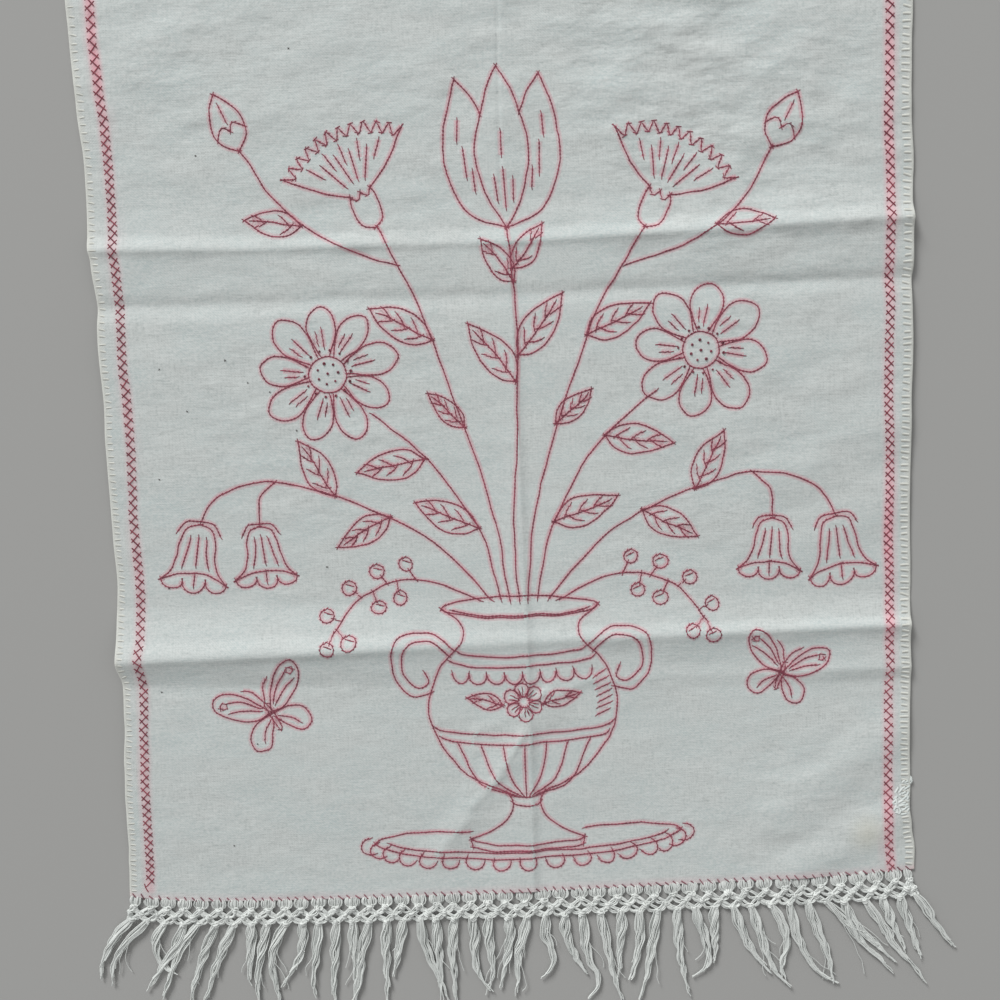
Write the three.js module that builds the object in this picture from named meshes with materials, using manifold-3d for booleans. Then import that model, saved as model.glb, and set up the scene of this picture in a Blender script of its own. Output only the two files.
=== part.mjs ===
// Embroidered tea towel: one woven cloth panel lying flat with its fold creases, and one knotted
// fringe along its lower edge. Millimetres, +Z up. The towel lies on z = 0 with its length along Y
// and its fringe towards -Y. Places on the cloth are given as "across" (from the middle of its
// width, + to the right) and "up" (from the fringe edge towards the top hem), and the finished
// towel is centred on its own outline.
import * as THREE from 'three';
import { mergeVertices } from 'three/addons/utils/BufferGeometryUtils.js';
import Module from 'manifold-3d';

const wasm = await Module();
wasm.setup();

// ---------------------------------------------------------------- driving dimensions: the cloth
const CLOTH_WIDTH = 500;
const CLOTH_LENGTH = 915;
const CLOTH_THICKNESS = 1.2;
const HEM_THICKNESS = 1.8;
const SIDE_HEM = 14;
const TOP_HEM = 10;
const HEM_STEP = 1;
const HEM_LOWER_EDGE = CLOTH_LENGTH - TOP_HEM;
const HEM_FOOT = HEM_LOWER_EDGE - HEM_STEP;
const LOWER_EDGE_BOW = { left: 4.3, right: 1.5 };
const LOWER_EDGE_DROP = { left: 4.8, right: 2.2 };
const BOW_REACH = 118;
const COLUMN_SPACING = 26;
const ROW_SPACING = 34;

// The lengthwise crease: a low ridge a little to the right of the middle.
const CREASE_ACROSS = 8;
const CREASE_HALF_WIDTH = 14;
const CREASE_LIFT = 1.2;

// How far each side edge is drawn in from the nominal width, as [up, drawn in] going up the cloth.
const SIDE_EDGES = {
  left: [
    [0, 0], [21, 0.9], [34, 1.9], [60, 2.1], [86, 3.2], [112, 5.4], [138, 6.1], [151, 3.8],
    [176, 4.4], [205, 6.3], [230, 5.7], [289, 5.7], [313, 6.6], [349, 5.7], [373, 6.7], [397, 4.9],
    [411, 3.4], [456, 4.1], [491, 1.7], [526, 0.3], [564, -0.6], [740, 1], [CLOTH_LENGTH, 0],
  ],
  right: [
    [0, -2.2], [14, -2.5], [29, -0.3], [42, 1.3], [55, 0.5], [94, 1.5], [122, 0.6], [158, 1.2],
    [184, 0.4], [240, 1.2], [271, 0.7], [295, 0.8], [328, -0.2], [368, 0.5], [380, -0.3],
    [415, 0.1], [439, -1], [473, 0.4], [508, 0.2], [531, -0.5], [740, 1.5], [CLOTH_LENGTH, 0],
  ],
};

// The cloth's cross lines from the fringe edge to the top hem. Each is straight from its height at
// the left edge to its height at the right edge, and the cloth is a flat facet between two lines.
// "lift" is how high the underside stands there at five stations from the left edge to the right.
const CROSS_LINES = [
  { name: 'fringe edge', left: 0, right: 0, lift: [0, 0, 0, 0, 0] },
  { name: 'middle of the lower panel', left: 60, right: 56, lift: [1.9, 1.6, 1.1, 0.2, 0.3] },
  { name: 'lower panel, top', left: 117, right: 123, lift: [3.9, 3.5, 2.3, 0.5, 0.9] },
  { name: 'lower second crease', left: 126.5, right: 132.5, lift: [4.2, 3.8, 2.6, 1.2, 2.5] },
  { name: 'lower fold, hollow', left: 133.5, right: 139.5, lift: [4.4, 4.2, 2.8, 1.2, 2.2] },
  { name: 'lower fold, shelf', left: 141.5, right: 147.5, lift: [5.3, 5.3, 3.2, 1.9, 2.1] },
  { name: 'lower fold, falling', left: 148.5, right: 154.5, lift: [6.6, 6.2, 3.8, 2.9, 3.0] },
  { name: 'lower fold crest', left: 153.5, right: 159.5, lift: [7.4, 7.0, 4.3, 3.7, 4.1] },
  { name: 'lower fold, rising', left: 167, right: 166, lift: [3.9, 3.5, 2.2, 1.4, 1.6] },
  { name: 'above lower fold', left: 188, right: 179, lift: [0.2, 0.2, 0.8, 0.1, 0] },
  { name: 'middle of the panel', left: 270, right: 270, lift: [1.8, 1.2, 0.9, 1.1, 1.3] },
  { name: 'below upper fold', left: 358, right: 358, lift: [3.6, 2.6, 2.3, 3.1, 2.8] },
  { name: 'upper second crease', left: 370, right: 371, lift: [2.4, 1.4, 1.6, 2.3, 2.1] },
  { name: 'upper fold, shoulder', left: 379, right: 380, lift: [3.0, 2.0, 2.2, 3.2, 3.1] },
  { name: 'upper fold, falling', left: 396, right: 397, lift: [3.6, 2.4, 2.7, 4.0, 3.9] },
  { name: 'upper fold crest', left: 403.5, right: 405.5, lift: [4.2, 2.9, 3.4, 5.0, 5.0] },
  { name: 'upper fold, rising', left: 413, right: 416, lift: [1.8, 1.3, 1.6, 2.4, 2.4] },
  { name: 'above upper fold', left: 430, right: 433, lift: [0.3, 0.2, 0.3, 0.4, 0.4] },
  { name: 'upper part of the panel', left: 530, right: 530, lift: [0.4, 0.3, 0, 0.6, 0.5] },
  { name: 'below top fold', left: 630, right: 632, lift: [0, 0, 0, 0, 0] },
  { name: 'top fold, falling', left: 648, right: 650, lift: [1.6, 1.5, 1.3, 1.7, 1.8] },
  { name: 'top fold crest', left: 658, right: 660, lift: [4.0, 3.6, 3.2, 3.8, 4.2] },
  { name: 'top fold, rising', left: 668, right: 671, lift: [1.7, 1.5, 1.3, 1.6, 1.8] },
  { name: 'above top fold', left: 686, right: 690, lift: [0, 0, 0, 0, 0] },
  { name: 'below the top hem', left: HEM_FOOT, right: HEM_FOOT, lift: [0, 0, 0, 0, 0] },
  { name: 'top hem, lower edge', left: HEM_LOWER_EDGE, right: HEM_LOWER_EDGE, lift: [0, 0, 0, 0, 0] },
  { name: 'top edge', left: CLOTH_LENGTH, right: CLOTH_LENGTH, lift: [0, 0, 0, 0, 0] },
];

// Soft diagonal rumples: each runs between two places on the cloth and fades out to its sides.
const RUMPLES = [
  { from: [25, 118], to: [-50, 28], lift: 1.3, halfWidth: 13 },
  { from: [243, 92], to: [165, 40], lift: 1.7, halfWidth: 22 },
  { from: [243, 34], to: [180, 4], lift: 1.4, halfWidth: 20 },
  { from: [240, 288], to: [165, 250], lift: 1.2, halfWidth: 24 },
  { from: [235, 236], to: [170, 205], lift: 1.0, halfWidth: 22 },
];

// --------------------------------------------------------------- driving dimensions: the fringe
const FRINGE_THICKNESS = 2;
const FRINGE_CLEARANCE = 0.45;
const BUNDLES = 45;
const BUNDLE_SLIT = 1.8;
const SPACING_CHANGE = { bundle: 21, across: -27.5 };
const LEFT_SPACING = 10.7;
const RIGHT_SPACING = 11.8;
const FIRST_KNOT_DEPTH = 6;
const SECOND_KNOT_DEPTH = 11;
const THIRD_KNOT_DEPTH = 16;
const NET_DEPTH = { left: 0.88, right: 1.02 };
const KNOT_RADIUS = 2.2;
const NET_FAN = { left: -3, right: 5.5 };
const KNOT_WANDER = 1.6;
const KNOT_ROW_SALT = { first: 1, second: 3, third: 5 };
const LEAST_ROOM_FOR_GAP = 3 * KNOT_RADIUS;
const TASSEL_HEAD_WIDTH = 5;
const TASSEL_TIP_WIDTH = 1.4;
const TASSEL_STEPS = 6;

// One row for each tassel, from the left: the direction in which its four quarters run, in degrees
// from straight down and + to the right, and its length.
const TASSEL_COLUMNS = ['leaving', 'upper', 'lower', 'tip', 'length'];
const TASSELS = [
  [-45, -35, -25, -5, 49], [-45, -45, -25, 0, 53], [-35, 0, 25, 60, 43], [-20, -35, -35, -40, 56],
  [-40, -25, -20, -25, 62], [-25, -20, -20, -10, 62], [-25, -25, -20, -20, 60], [-5, -5, -10, 10, 46],
  [-15, -15, -5, 10, 60], [-30, -10, 15, 0, 62], [0, -15, -35, -35, 49], [-5, -10, -10, 5, 52],
  [-5, -5, -5, 5, 60], [0, 5, -5, -5, 58], [-15, -10, -5, -30, 60], [-5, 0, 0, -5, 60],
  [-10, -10, -15, -15, 40], [5, 20, 25, 15, 60], [0, 5, 0, 0, 60], [-10, 0, 5, 0, 58],
  [5, -5, 15, 40, 54], [-5, 10, 0, -25, 54], [5, -10, -15, -10, 50], [-10, -20, 5, -15, 56],
  [-5, 25, 0, -55, 48], [0, 20, 25, 40, 47], [5, 5, 35, -40, 62], [10, 10, 10, 20, 64],
  [0, -5, -5, 0, 47], [0, -5, -15, -25, 51], [-10, -10, -10, -20, 64], [0, 5, 10, 15, 60],
  [15, 20, 0, -60, 53], [0, 0, 5, -15, 39], [20, 20, 35, 40, 53], [20, 15, 20, 50, 64],
  [30, 15, -25, 20, 58], [10, 20, 35, 60, 68], [15, 25, 15, 5, 58], [45, 30, 50, 35, 69],
  [20, 45, 45, 45, 57], [35, 25, 45, 30, 70], [20, 20, 30, 10, 42], [15, 20, 20, 15, 45],
  [40, 25, 40, 35, 46],
].map((row) => Object.fromEntries(TASSEL_COLUMNS.map((column, k) => [column, row[k]])));

// ------------------------------------------------------------------------------ shared functions
const clothMaterial = new THREE.MeshStandardMaterial({
  color: 0xdde3e1, roughness: 0.9, metalness: 0, flatShading: true,
});
const fringeMaterial = new THREE.MeshStandardMaterial({
  color: 0xe9ebe6, roughness: 0.95, metalness: 0, flatShading: true,
});

// A value that eases between those of two [place, value] pairs on either side of a place.
function easeBetween(pairs, place) {
  let k = 0;
  while (k < pairs.length - 2 && place > pairs[k + 1][0]) k += 1;
  const [[from, start], [to, end]] = [pairs[k], pairs[k + 1]];
  return THREE.MathUtils.lerp(start, end, THREE.MathUtils.smoothstep(place, from, to));
}

// A repeatable offset between -0.5 and 0.5 for a numbered knot, with its own salt for each use.
function wander(number, salt) {
  const [numberFactor, saltFactor, spread] = [12.9898, 78.233, 43758.5453];
  const mixed = Math.sin(number * numberFactor + salt * saltFactor) * spread;
  return mixed - Math.floor(mixed) - 0.5;
}

function steps(from, to, spacing) {
  const count = Math.max(1, Math.ceil((to - from) / spacing));
  return Array.from({ length: count }, (_, k) => from + ((to - from) * k) / count);
}

// ------------------------------------------------------------------------------------ the cloth
// The fringe edge: it drops near each corner and bows between them, more on the left.
function lowerEdgeAt(across) {
  const { clamp, lerp } = THREE.MathUtils;
  const place = clamp(2 * across / CLOTH_WIDTH, -1, 1);
  const toRight = (place + 1) / 2;
  const bow = lerp(LOWER_EDGE_BOW.left, LOWER_EDGE_BOW.right, toRight) * (1 - place ** 2);
  const drop = lerp(LOWER_EDGE_DROP.left, LOWER_EDGE_DROP.right, toRight) * (1 - place ** 10);
  return -bow - drop;
}

// The bow of the fringe edge dies out going up the cloth.
function bowAt(across, up) {
  return lowerEdgeAt(across) * (1 - THREE.MathUtils.smoothstep(up, 0, BOW_REACH));
}

function liftOfLine(line, share) {
  const place = share * (line.lift.length - 1);
  const k = Math.min(Math.floor(place), line.lift.length - 2);
  return THREE.MathUtils.lerp(line.lift[k], line.lift[k + 1], place - k);
}

function bell(distance, halfWidth) {
  return distance < halfWidth ? (1 - (distance / halfWidth) ** 2) ** 2 : 0;
}

function rumpleLiftAt(across, up) {
  const place = new THREE.Vector3(across, up, 0);
  const nearest = new THREE.Vector3();
  let lift = 0;
  for (const rumple of RUMPLES) {
    const course = new THREE.Line3();
    course.start.set(...rumple.from, 0);
    course.end.set(...rumple.to, 0);
    course.closestPointToPoint(place, true, nearest);
    lift += rumple.lift * bell(nearest.distanceTo(place), rumple.halfWidth);
  }
  return lift;
}

// Columns across the cloth, from the left edge: the side hems with their inner steps, the crease
// with its two feet, and even steps between them.
function clothColumns() {
  const creaseFromLeft = CLOTH_WIDTH / 2 + CREASE_ACROSS;
  const leftInner = SIDE_HEM + HEM_STEP;
  const rightInner = CLOTH_WIDTH - SIDE_HEM - HEM_STEP;
  return [
    0, SIDE_HEM,
    ...steps(leftInner, creaseFromLeft - CREASE_HALF_WIDTH, COLUMN_SPACING),
    creaseFromLeft - CREASE_HALF_WIDTH, creaseFromLeft,
    ...steps(creaseFromLeft + CREASE_HALF_WIDTH, rightInner, COLUMN_SPACING),
    rightInner, CLOTH_WIDTH - SIDE_HEM, CLOTH_WIDTH,
  ];
}

// Rows up the cloth: the cross lines, with even steps between them. Each row keeps the two lines
// it lies between and its share of the way from the lower one to the upper one.
function clothRows() {
  const rows = [];
  for (let k = 0; k < CROSS_LINES.length - 1; k += 1) {
    const [below, above] = [CROSS_LINES[k], CROSS_LINES[k + 1]];
    const count = Math.ceil((above.left - below.left) / ROW_SPACING);
    for (let n = 0; n < count; n += 1) rows.push({ below, above, share: n / count });
  }
  rows.push({ ...rows[rows.length - 1], share: 1 });
  return rows;
}

// Where a grid point lies: its column is a share of the cloth's width, and its row lies between two
// cross lines.
function clothPoint(fromLeft, row) {
  const { lerp } = THREE.MathUtils;
  const share = fromLeft / CLOTH_WIDTH;
  const upBelow = lerp(row.below.left, row.below.right, share);
  const upAbove = lerp(row.above.left, row.above.right, share);
  const up = lerp(upBelow, upAbove, row.share);
  const leftEdge = -CLOTH_WIDTH / 2 + easeBetween(SIDE_EDGES.left, up);
  const rightEdge = CLOTH_WIDTH / 2 - easeBetween(SIDE_EDGES.right, up);
  const across = lerp(leftEdge, rightEdge, share);
  const lineLift = lerp(liftOfLine(row.below, share), liftOfLine(row.above, share), row.share);
  const fromCrease = Math.abs(fromLeft - CLOTH_WIDTH / 2 - CREASE_ACROSS);
  const creaseLift = CREASE_LIFT * Math.max(0, 1 - fromCrease / CREASE_HALF_WIDTH);
  const under = lineLift + creaseLift + rumpleLiftAt(across, up);
  const isSideHem = fromLeft <= SIDE_HEM || fromLeft >= CLOTH_WIDTH - SIDE_HEM;
  const isTopHem = up >= HEM_LOWER_EDGE;
  const thickness = isSideHem || isTopHem ? HEM_THICKNESS : CLOTH_THICKNESS;
  return { x: across, y: up + bowAt(across, up), under, top: under + thickness };
}

// A closed sheet from a grid of points: its upper face, its underside and the wall round its rim.
function sheetGeometry(columns, rows) {
  const grid = rows.map((row) => columns.map((column) => clothPoint(column, row)));
  const positions = [];
  for (const side of ['top', 'under']) {
    grid.flat().forEach((point) => positions.push(point.x, point.y, point[side]));
  }
  const wide = columns.length;
  const topOf = (row, column) => row * wide + column;
  const underOf = (row, column) => rows.length * wide + topOf(row, column);
  const faces = [];
  const quad = (a, b, c, d) => faces.push(a, b, c, a, c, d);
  for (let row = 0; row < rows.length - 1; row += 1) {
    for (let column = 0; column < wide - 1; column += 1) {
      const corners = [[row, column], [row, column + 1], [row + 1, column + 1], [row + 1, column]];
      quad(...corners.map((corner) => topOf(...corner)));
      quad(...corners.reverse().map((corner) => underOf(...corner)));
    }
  }
  const rim = [
    ...columns.slice(0, -1).map((_, column) => [0, column]),
    ...rows.slice(0, -1).map((_, row) => [row, wide - 1]),
    ...columns.slice(0, -1).map((_, column) => [rows.length - 1, wide - 1 - column]),
    ...rows.slice(0, -1).map((_, row) => [rows.length - 1 - row, 0]),
  ];
  rim.forEach((here, k) => {
    const next = rim[(k + 1) % rim.length];
    quad(underOf(...here), underOf(...next), topOf(...next), topOf(...here));
  });
  const geometry = new THREE.BufferGeometry();
  geometry.setAttribute('position', new THREE.Float32BufferAttribute(positions, 3));
  geometry.setIndex(faces);
  return geometry;
}

function towelCloth() {
  const cloth = new THREE.Mesh(sheetGeometry(clothColumns(), clothRows()), clothMaterial);
  cloth.name = 'towel_cloth';
  return cloth;
}

// ----------------------------------------------------------------------------------- the fringe
// Where one bundle ends and the next begins: they stand closer together in the left part. The
// first and the last are cut short by the cloth's corners.
function bundleStart(number) {
  const past = number - SPACING_CHANGE.bundle;
  const across = SPACING_CHANGE.across + past * (past < 0 ? LEFT_SPACING : RIGHT_SPACING);
  return THREE.MathUtils.clamp(across, -CLOTH_WIDTH / 2, CLOTH_WIDTH / 2);
}

// A knot below a place on the fringe edge. The net fans out a little as it goes down and is less
// deep on the left, and each knot wanders from its place.
function knotAt(across, depth, number, salt) {
  const share = across / CLOTH_WIDTH + 0.5;
  const fan = THREE.MathUtils.lerp(NET_FAN.left, NET_FAN.right, share) * (depth / THIRD_KNOT_DEPTH);
  return new THREE.Vector2(
    across + fan + KNOT_WANDER * wander(number, salt),
    lowerEdgeAt(across) - depth * THREE.MathUtils.lerp(NET_DEPTH.left, NET_DEPTH.right, share)
      + 0.5 * KNOT_WANDER * wander(number, salt + 1),
  );
}

// The knots of one bundle: the first gathers it, the second ties its half to the next bundle's, and
// the third gathers it again over its tassel.
function bundle(number) {
  const start = bundleStart(number);
  const end = bundleStart(number + 1);
  const secondAcross = Math.min(end, CLOTH_WIDTH / 2 - KNOT_RADIUS);
  return {
    across: (start + end) / 2,
    halfWidth: (end - start - BUNDLE_SLIT) / 2,
    first: knotAt((start + end) / 2, FIRST_KNOT_DEPTH, number, KNOT_ROW_SALT.first),
    second: knotAt(secondAcross, SECOND_KNOT_DEPTH, number, KNOT_ROW_SALT.second),
    third: knotAt((start + end) / 2, THIRD_KNOT_DEPTH, number, KNOT_ROW_SALT.third),
  };
}

// The knotted net as one outline: the bundle heads along the cloth with the first row of gaps
// between them, the lower edge scalloped between the third knots, and the second row of gaps cut
// through as holes. The short bundles at the corners are too tight for a gap.
function netGeometry(bundles) {
  const beside = (knot, right, up) => new THREE.Vector2(knot.x + right, knot.y + up);
  const alongCloth = (across) => new THREE.Vector2(across, lowerEdgeAt(across) - FRINGE_CLEARANCE);
  const leftEnd = KNOT_RADIUS - CLOTH_WIDTH / 2;
  const leftKnot = knotAt(leftEnd, SECOND_KNOT_DEPTH, BUNDLES, KNOT_ROW_SALT.second);
  const upperSide = [];
  const lowerSide = [];
  const gaps = [];
  bundles.forEach((here, k) => {
    const before = k === 0 ? leftKnot : bundles[k - 1].second;
    upperSide.push(
      k === 0 ? beside(before, -KNOT_RADIUS, 0) : beside(before, 0, KNOT_RADIUS),
      beside(here.first, -KNOT_RADIUS, 0),
      alongCloth(here.across - here.halfWidth),
      alongCloth(here.across + here.halfWidth),
      beside(here.first, KNOT_RADIUS, 0),
    );
    lowerSide.push(
      beside(here.third, -KNOT_RADIUS, -KNOT_RADIUS),
      beside(here.third, KNOT_RADIUS, -KNOT_RADIUS),
    );
    if (k < bundles.length - 1) lowerSide.push(beside(here.second, 0, -KNOT_RADIUS));
    const hasRoomForGap = here.second.x - before.x > LEAST_ROOM_FOR_GAP;
    if (hasRoomForGap) {
      gaps.push(new THREE.Path([
        beside(here.first, 0, -KNOT_RADIUS),
        beside(before, KNOT_RADIUS, 0),
        beside(here.third, 0, KNOT_RADIUS),
        beside(here.second, -KNOT_RADIUS, 0),
      ]));
    }
  });
  upperSide.push(beside(bundles[bundles.length - 1].second, KNOT_RADIUS, 0));
  const net = new THREE.Shape([...upperSide, ...lowerSide.reverse()]);
  net.holes = gaps;
  return new THREE.ExtrudeGeometry(net, { depth: FRINGE_THICKNESS, bevelEnabled: false });
}

// The direction of a tassel, in degrees from straight down, at a share of its length.
function tasselDirection(tassel, share) {
  const quarters = [tassel.leaving, tassel.upper, tassel.lower, tassel.tip];
  const lastQuarter = quarters.length - 1;
  const place = THREE.MathUtils.clamp(share * quarters.length - 0.5, 0, lastQuarter);
  const k = Math.min(Math.floor(place), lastQuarter - 1);
  return THREE.MathUtils.lerp(quarters[k], quarters[k + 1], place - k);
}

// A flat tooth that follows its tassel from the third knot to the tip and narrows on the way.
function tasselGeometry(tassel, knot) {
  const left = [];
  const right = [];
  const place = knot.clone();
  for (let n = 0; n <= TASSEL_STEPS; n += 1) {
    const angle = THREE.MathUtils.degToRad(tasselDirection(tassel, n / TASSEL_STEPS));
    const along = new THREE.Vector2(Math.sin(angle), -Math.cos(angle));
    const half = THREE.MathUtils.lerp(TASSEL_HEAD_WIDTH, TASSEL_TIP_WIDTH, n / TASSEL_STEPS) / 2;
    const side = new THREE.Vector2(along.y, -along.x).multiplyScalar(half);
    left.push(place.clone().add(side));
    right.unshift(place.clone().sub(side));
    place.addScaledVector(along, tassel.length / TASSEL_STEPS);
  }
  const tooth = new THREE.Shape([...left, ...right]);
  return new THREE.ExtrudeGeometry(tooth, { depth: FRINGE_THICKNESS, bevelEnabled: false });
}

function solidOf(geometry) {
  const bare = geometry.clone();
  bare.deleteAttribute('normal');
  bare.deleteAttribute('uv');
  const merged = mergeVertices(bare);
  return new wasm.Manifold(new wasm.Mesh({
    numProp: 3,
    vertProperties: merged.attributes.position.array,
    triVerts: new Uint32Array(merged.index.array),
  }));
}

function geometryOf(solid) {
  const mesh = solid.getMesh();
  const geometry = new THREE.BufferGeometry();
  geometry.setAttribute('position', new THREE.Float32BufferAttribute(mesh.vertProperties, 3));
  geometry.setIndex(Array.from(mesh.triVerts));
  return geometry;
}

function knottedFringe() {
  const bundles = Array.from({ length: BUNDLES }, (_, number) => bundle(number));
  let comb = solidOf(netGeometry(bundles));
  TASSELS.forEach((tassel, k) => {
    comb = comb.add(solidOf(tasselGeometry(tassel, bundles[k].third)));
  });
  const fringe = new THREE.Mesh(geometryOf(comb), fringeMaterial);
  fringe.name = 'knotted_fringe';
  return fringe;
}

// ------------------------------------------------------------------------------------ the towel
const towel = new THREE.Group();
towel.add(towelCloth(), knottedFringe());
const middle = new THREE.Box3().setFromObject(towel).getCenter(new THREE.Vector3());
towel.position.set(-middle.x, -middle.y, 0);

export default towel;
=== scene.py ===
"""Embroidered tea towel, laid out flat.

A washed white cloth with fold creases and turned side hems, red herringbone borders, white ladder
hemstitching, red whip stitches along the lower edge, redwork in stem stitch, a darned mend and a
hand-knotted fringe. The cloth and the fringe follow the CAD solids towel_cloth and knotted_fringe.

Places on the towel are worked out in millimetres: "across" from the middle of the cloth, + to the
right, and "up" from the fringe edge. in_frame() turns them into metres in the shared frame.
"""

import functools
import math

import bpy
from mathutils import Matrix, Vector, noise
from mathutils.bvhtree import BVHTree


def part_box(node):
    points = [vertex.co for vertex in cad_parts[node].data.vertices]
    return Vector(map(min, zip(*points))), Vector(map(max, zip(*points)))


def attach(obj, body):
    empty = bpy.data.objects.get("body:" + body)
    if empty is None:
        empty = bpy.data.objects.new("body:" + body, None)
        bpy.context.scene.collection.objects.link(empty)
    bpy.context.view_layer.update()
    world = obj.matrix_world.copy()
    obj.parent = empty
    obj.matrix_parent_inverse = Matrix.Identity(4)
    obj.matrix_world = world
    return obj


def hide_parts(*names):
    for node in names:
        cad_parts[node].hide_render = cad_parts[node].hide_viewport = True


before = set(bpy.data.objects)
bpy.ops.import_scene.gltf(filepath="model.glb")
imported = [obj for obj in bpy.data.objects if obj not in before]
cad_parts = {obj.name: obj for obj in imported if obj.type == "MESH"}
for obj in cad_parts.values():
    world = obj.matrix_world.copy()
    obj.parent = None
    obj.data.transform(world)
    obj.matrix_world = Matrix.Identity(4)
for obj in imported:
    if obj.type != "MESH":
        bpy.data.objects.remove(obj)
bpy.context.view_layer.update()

MM = 0.001

# ------------------------------------------------------------------------ sizes shared with the CAD
CLOTH_WIDTH = 500
CLOTH_LENGTH = 915
SIDE_HEM = 14
TOP_HEM = 10
LOWER_EDGE_BOW = (4.3, 1.5)
LOWER_EDGE_DROP = (4.8, 2.2)
BOW_REACH = 118

# How far each side edge is drawn in from the nominal width, as (up, drawn in) going up the cloth.
LEFT_DRAWN_IN = [
    (0, 0), (21, 0.9), (34, 1.9), (60, 2.1), (86, 3.2), (112, 5.4), (138, 6.1), (151, 3.8),
    (176, 4.4), (205, 6.3), (230, 5.7), (289, 5.7), (313, 6.6), (349, 5.7), (373, 6.7), (397, 4.9),
    (411, 3.4), (456, 4.1), (491, 1.7), (526, 0.3), (564, -0.6), (740, 1), (CLOTH_LENGTH, 0),
]
RIGHT_DRAWN_IN = [
    (0, -2.2), (14, -2.5), (29, -0.3), (42, 1.3), (55, 0.5), (94, 1.5), (122, 0.6), (158, 1.2),
    (184, 0.4), (240, 1.2), (271, 0.7), (295, 0.8), (328, -0.2), (368, 0.5), (380, -0.3),
    (415, 0.1), (439, -1), (473, 0.4), (508, 0.2), (531, -0.5), (740, 1.5), (CLOTH_LENGTH, 0),
]

# Cross lines of the cloth: (up at the left edge, up at the right edge, lift at five stations).
CROSS_LINES = [
    (0, 0, (0, 0, 0, 0, 0)),
    (60, 56, (1.9, 1.6, 1.1, 0.2, 0.3)),
    (117, 123, (3.6, 3.3, 2.3, 0.5, 0.9)),
    (126.5, 132.5, (3.8, 3.5, 2.5, 1.2, 2.5)),
    (133.5, 139.5, (3.9, 3.7, 2.7, 1.2, 2.2)),
    (141.5, 147.5, (4.6, 4.5, 3.0, 1.8, 2.0)),
    (148.5, 154.5, (6.2, 5.8, 3.7, 2.9, 3.0)),
    (153.5, 159.5, (7.4, 7.0, 4.3, 3.7, 4.1)),
    (167, 166, (3.9, 3.5, 2.2, 1.4, 1.6)),
    (188, 179, (0.2, 0.2, 0.8, 0.1, 0)),
    (270, 270, (1.8, 1.2, 0.9, 1.1, 1.3)),
    (358, 358, (3.6, 2.0, 1.7, 3.1, 2.8)),
    (370, 371, (2.4, 0.8, 1.0, 2.3, 2.1)),
    (379, 380, (3.0, 1.4, 1.6, 3.2, 3.1)),
    (396, 397, (3.6, 1.8, 2.1, 4.0, 3.9)),
    (403.5, 405.5, (4.2, 2.1, 2.4, 5.0, 5.0)),
    (413, 416, (1.8, 0.5, 0.6, 2.4, 2.4)),
    (430, 433, (0.3, 0.1, 0.1, 0.4, 0.4)),
    (530, 530, (0.4, 0.3, 0, 0.6, 0.5)),
    (630, 632, (0, 0, 0, 0, 0)),
    (648, 650, (1.6, 1.5, 1.3, 1.7, 1.8)),
    (658, 660, (4.0, 3.6, 3.2, 3.8, 4.2)),
    (668, 671, (1.7, 1.5, 1.3, 1.6, 1.8)),
    (686, 690, (0, 0, 0, 0, 0)),
    (CLOTH_LENGTH, CLOTH_LENGTH, (0, 0, 0, 0, 0)),
]

# The fringe.
BUNDLES = 45
BUNDLE_SLIT = 1.8
SPACING_CHANGE_BUNDLE, SPACING_CHANGE_ACROSS = 21, -27.5
LEFT_SPACING, RIGHT_SPACING = 10.7, 11.8
FIRST_KNOT_DEPTH, SECOND_KNOT_DEPTH, THIRD_KNOT_DEPTH = 6, 11, 16
FIRST_KNOT_SALT, SECOND_KNOT_SALT, THIRD_KNOT_SALT = 1, 3, 5
NET_DEPTH = (0.88, 1.02)
KNOT_RADIUS = 2.2
NET_FAN_LEFT, NET_FAN_RIGHT = -3, 5.5
KNOT_WANDER = 1.6

# One row for each tassel, from the left: the direction of its four quarters, in degrees from
# straight down and + to the right, and its length.
TASSELS = [
    (-45, -35, -25, -5, 49), (-45, -45, -25, 0, 53), (-35, 0, 25, 60, 43), (-20, -35, -35, -40, 56),
    (-40, -25, -20, -25, 62), (-25, -20, -20, -10, 62), (-25, -25, -20, -20, 60), (-5, -5, -10, 10, 46),
    (-15, -15, -5, 10, 60), (-30, -10, 15, 0, 62), (0, -15, -35, -35, 49), (-5, -10, -10, 5, 52),
    (-5, -5, -5, 5, 60), (0, 5, -5, -5, 58), (-15, -10, -5, -30, 60), (-5, 0, 0, -5, 60),
    (-10, -10, -15, -15, 40), (5, 20, 25, 15, 60), (0, 5, 0, 0, 60), (-10, 0, 5, 0, 58),
    (5, -5, 15, 40, 54), (-5, 10, 0, -25, 54), (5, -10, -15, -10, 50), (-10, -20, 5, -15, 56),
    (-5, 25, 0, -55, 48), (0, 20, 25, 40, 47), (5, 5, 35, -40, 62), (10, 10, 10, 20, 64),
    (0, -5, -5, 0, 47), (0, -5, -15, -25, 51), (-10, -10, -10, -20, 64), (0, 5, 10, 15, 60),
    (15, 20, 0, -60, 53), (0, 0, 5, -15, 39), (20, 20, 35, 40, 53), (20, 15, 20, 50, 64),
    (30, 15, -25, 20, 58), (10, 20, 35, 60, 68), (15, 25, 15, 5, 58), (45, 30, 50, 35, 69),
    (20, 45, 45, 45, 57), (35, 25, 45, 30, 70), (20, 20, 30, 10, 42), (15, 20, 20, 15, 45),
    (40, 25, 40, 35, 46),
]

# ------------------------------------------------------------------------- sizes of the soft detail
CLOTH_THICKNESS = 0.6
HEM_RISE = 0.4
HEM_SOFTNESS = 2.6
EDGE_ROUNDING = 0.9
PRESSED_BELOW = 0.6 * MM

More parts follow.
